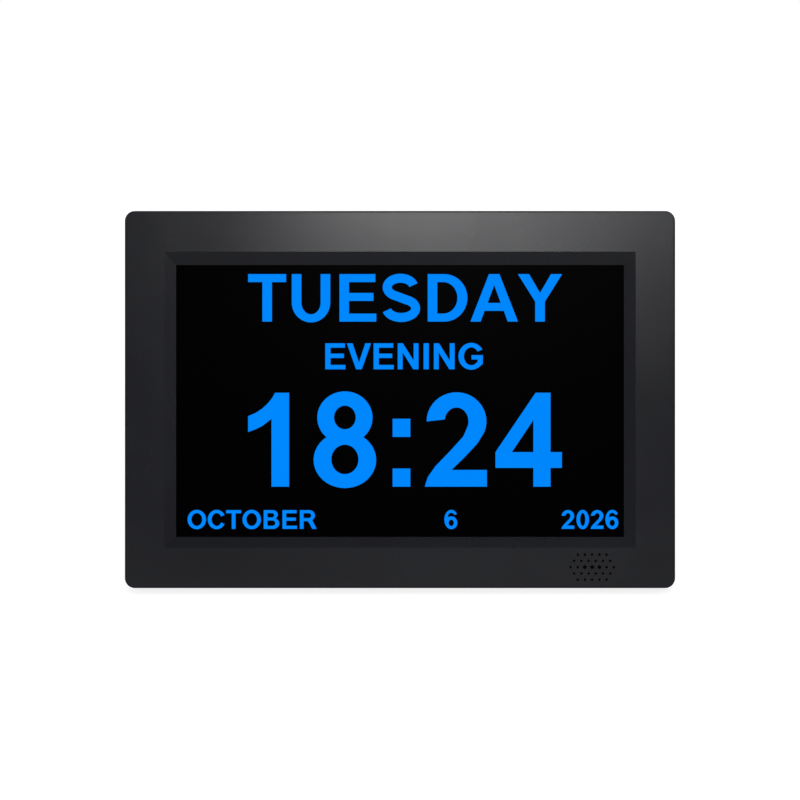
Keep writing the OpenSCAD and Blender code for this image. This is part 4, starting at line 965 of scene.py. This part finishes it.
def make_contact_tree():
    """A row of flat spring contacts, each bent along the host's path."""
    tree, given, result = node_group("contact_row", "GeometryNodeTree", {
        "Geometry": "Geometry", "Width": 1.0 * MM, "Thickness": contact_t, "Count": 4, "Step": 2.0 * MM,
        "Gold": "Material"}, {"Geometry": "Geometry"})
    path = form(tree, "MeshToCurve", Mesh=given["Geometry"])
    path = form(tree, "SetCurveNormal", settings={"mode": "Z_UP"}, Curve=path)
    blade = form(tree, "CurvePrimitiveQuadrilateral", Width=given["Thickness"], Height=given["Width"])
    spring = form(tree, "CurveToMesh", Curve=path, Profile_Curve=blade, Fill_Caps=True)
    line = form(tree, "MeshLine", Count=given["Count"], Offset=xyz(tree, Z=given["Step"]))
    finish_row(tree, line, spring, given["Gold"], result)
    return tree


contact_tree = make_contact_tree()
gold_flash = metal("gold_flash", (0.83, 0.6, 0.25), 0.22, along_x)


def contacts(name, x, y, middle_z, bends, width, count, pitch):
    """A row of contacts about middle_z, each bent along bends: x and y from a start, in millimetres."""
    lowest_z = middle_z - (count - 1) / 2 * pitch
    path = [(x + dx * MM, y + dy * MM, lowest_z) for dx, dy in bends]
    edges = [(i, i + 1) for i in range(len(path) - 1)]
    obj = grown(name, contact_tree, path, edges, Width=width, Thickness=contact_t, Count=count, Step=pitch,
                Gold=gold_flash)
    dress(obj, gold_flash, "housing")


tongue_low, tongue_high = turned_box("usb_socket_tongue", to_housing)
under_tongue = turned_box("usb_socket_shell", to_housing)[1].y - 2.75 * MM
usb_bends = [(0.6, 0), (1.6, -0.15), (4, -0.25), (7.6, 0)]
contacts("usb_contacts", tongue_low.x, under_tongue, (tongue_low.z + tongue_high.z) / 2, usb_bends,
         1.0 * MM, 4, 2.33 * MM)

card_low, card_high = turned_box("card_socket", to_housing)
card_sheet = 0.4 * MM
card_bends = [(-2.2, 0.06), (-4, 0.3), (-5.4, 0.75), (-6.4, 0.35)]
contacts("card_contacts", card_high.x, card_low.y + card_sheet, (card_low.z + card_high.z) / 2, card_bends,
         0.9 * MM, 8, 2.5 * MM)

# ---- Speaker ----
# A small oval speaker behind the sound holes: black paper cone in a pressed basket, magnet at the
# back, foam ring at the front, and two stranded wires that run up to the main board.
coat(metal("basket_sheet", (0.3, 0.31, 0.32), 0.36, along_x), "speaker_basket")
coat(metal("magnet_plate", (0.42, 0.43, 0.44), 0.3, across_x), "speaker_magnet")
cone_paper, tree, shader = finish("cone_paper", (0.012, 0.012, 0.013), 0.8, 0.3)
fibres = noise(tree, own_place(tree), 700.0, 6.0, 0.7)
pulp = tinted(tree, spread(tree, fibres, 0, 1), (0.008, 0.008, 0.009), (0.02, 0.02, 0.021))
feed(tree, shader, Base_Color=pulp, Normal=bumped(tree, fibres, 6e-5))
coat(cone_paper, "speaker_cone")
red_lead = moulded_plastic("lead_insulation", (0.35, 0.016, 0.012), 0.42, 1500.0, 1e-5)
black_lead = moulded_plastic("black_insulation", (0.014, 0.014, 0.015), 0.42, 1500.0, 1e-5)
lead = dress(moulding("speaker_wires", "speaker_lead", 60), red_lead, "housing")
one_wire = len(lead.data.polygons) // 2
with_parts(lead, black_lead, lambda middle, face: face.index >= one_wire)

# ---- Key board ----
# Seven tactile switches on a narrow board behind the button row, with red plungers that carry the
# caps and spring them back. A short grey ribbon joins the board to the main one.
coat(moulded_epoxy("switch_nylon", (0.02, 0.02, 0.021), 0.45), "key_switches")
grey_vinyl = flat_cable("grey_ribbon_vinyl", (0.42, 0.42, 0.42), (0.3, 0.3, 0.31), "Z", 0.8 * MM, 0.25, 0.4)
coat(grey_vinyl, "key_ribbon")
button_names = sorted(name for name in frame["nodes"] if name.startswith("button_"))
plunger_red = moulded_plastic("plunger_acetal", (0.32, 0.014, 0.01), 0.38, 2600.0, 5e-6)
coat(plunger_red, *[name.replace("button", "plunger") for name in button_names])

# ---- Rear cover ----
# The back half of the housing, moulded in the same black ABS with a coarser spark-eroded grain. Its
# raised middle holds the boards, vents, wall hooks and button pan, and the recess of the leg.
rear_plastic = moulded_plastic("grained_rear_plastic", (0.03, 0.03, 0.033), 0.46, 1500.0, 9e-5)
dress(moulding("rear_shell", "rear_cover"), rear_plastic, "housing")

# ---- Button signs ----
# Plain signs pad-printed under the row in pale grey ink: power, menu, up, left, select, right and
# down, as read from behind. They are drawn in millimetres about their own middles.
sign_gap = 2.4
sign_r = 1.4
line_w = 0.42
power_middle = -0.1
line_reach = 0.9 * sign_r
arrow_half, arrow_foot, arrow_tip = 0.9 * sign_r, -0.65 * sign_r, 0.85 * sign_r
sunk, proud = 0.05 * MM, 0.03 * MM
pale_ink = moulded_plastic("pale_grey_ink", (0.4, 0.4, 0.41), 0.5, 3000.0, 4e-6)


def triangle(turns):
    """A solid triangle that points up, and is then turned right by so many quarter turns."""
    points = [(-arrow_half, arrow_foot), (arrow_half, arrow_foot), (0, arrow_tip)]
    for _ in range(turns):
        points = [(y, -x) for x, y in points]
    return points


up, right, down, left = (triangle(turns) for turns in range(4))
middle_r = sign_r - line_w
ring = [oval(0, 0, r, r) for r in (middle_r + line_w / 2, middle_r - line_w / 2)]
broken_ring = band(arc(0, power_middle, middle_r, middle_r, 130, 410), line_w)
bar = oblong(-line_w / 2, power_middle, line_w / 2, sign_r)
menu = [oblong(-line_reach, y - line_w / 2, line_reach, y + line_w / 2) for y in (-0.9, 0, 0.9)]
signs = [[[broken_ring], [bar]], [[line] for line in menu], [[up]], [[left]], [ring], [[right]], [[down]]]
soup = bmesh.new()
back_face = turned_box("rear_cover", to_housing)[1].y
for name, sign in zip(button_names, signs):
    low, high = turned_box(name, to_housing)
    middle = (low.x + high.x) / 2, low.z - (sign_gap + sign_r) * MM
    for contours in sign:
        mirrored = [[(-x * MM, y * MM) for x, y in contour] for contour in contours]
        prism(soup, mirrored, middle, back_face - sunk, back_face + proud)
dress(plates("button_signs", soup), pale_ink, "housing")

# ---- Button caps ----
# Seven round caps in satin black, each with a dished top for the fingertip and a flange behind the
# cover that keeps it in. Handling has worn faint glossy patches into the satin.
cap_satin = moulded_plastic("button_cap_plastic", (0.018, 0.018, 0.0195), 0.3, 3000.0, 2e-6, 0.1, 0.06)
for name in button_names:
    dress(moulding(name + "_cap", name), cap_satin, name.replace("button", "key"))

# ---- Stand ----
# A ribbed leg in the cover's plastic swings on a ground steel pin, held by two friction washers. Its
# end carries a matt rubber foot, cut square to the table.
dress(moulding("leg_plate", "stand_leg"), rear_plastic, "stand")
ground_steel = metal("ground_steel", (0.56, 0.56, 0.57), 0.18, (1, 0.05, 0.05), 5000.0)
spring_steel = metal("spring_steel", (0.45, 0.45, 0.46), 0.3, across_x)
dress(moulding("leg_pin", "hinge_pin"), ground_steel, "housing")
dress(moulding("friction_washers", "hinge_washers"), spring_steel, "housing")
rubber = moulded_plastic("matt_foot_rubber", (0.011, 0.011, 0.0115), 0.82, 1900.0, 3e-5, 0.2, 0.06, 0.3)
dress(moulding("leg_foot", "stand_foot"), rubber, "stand")
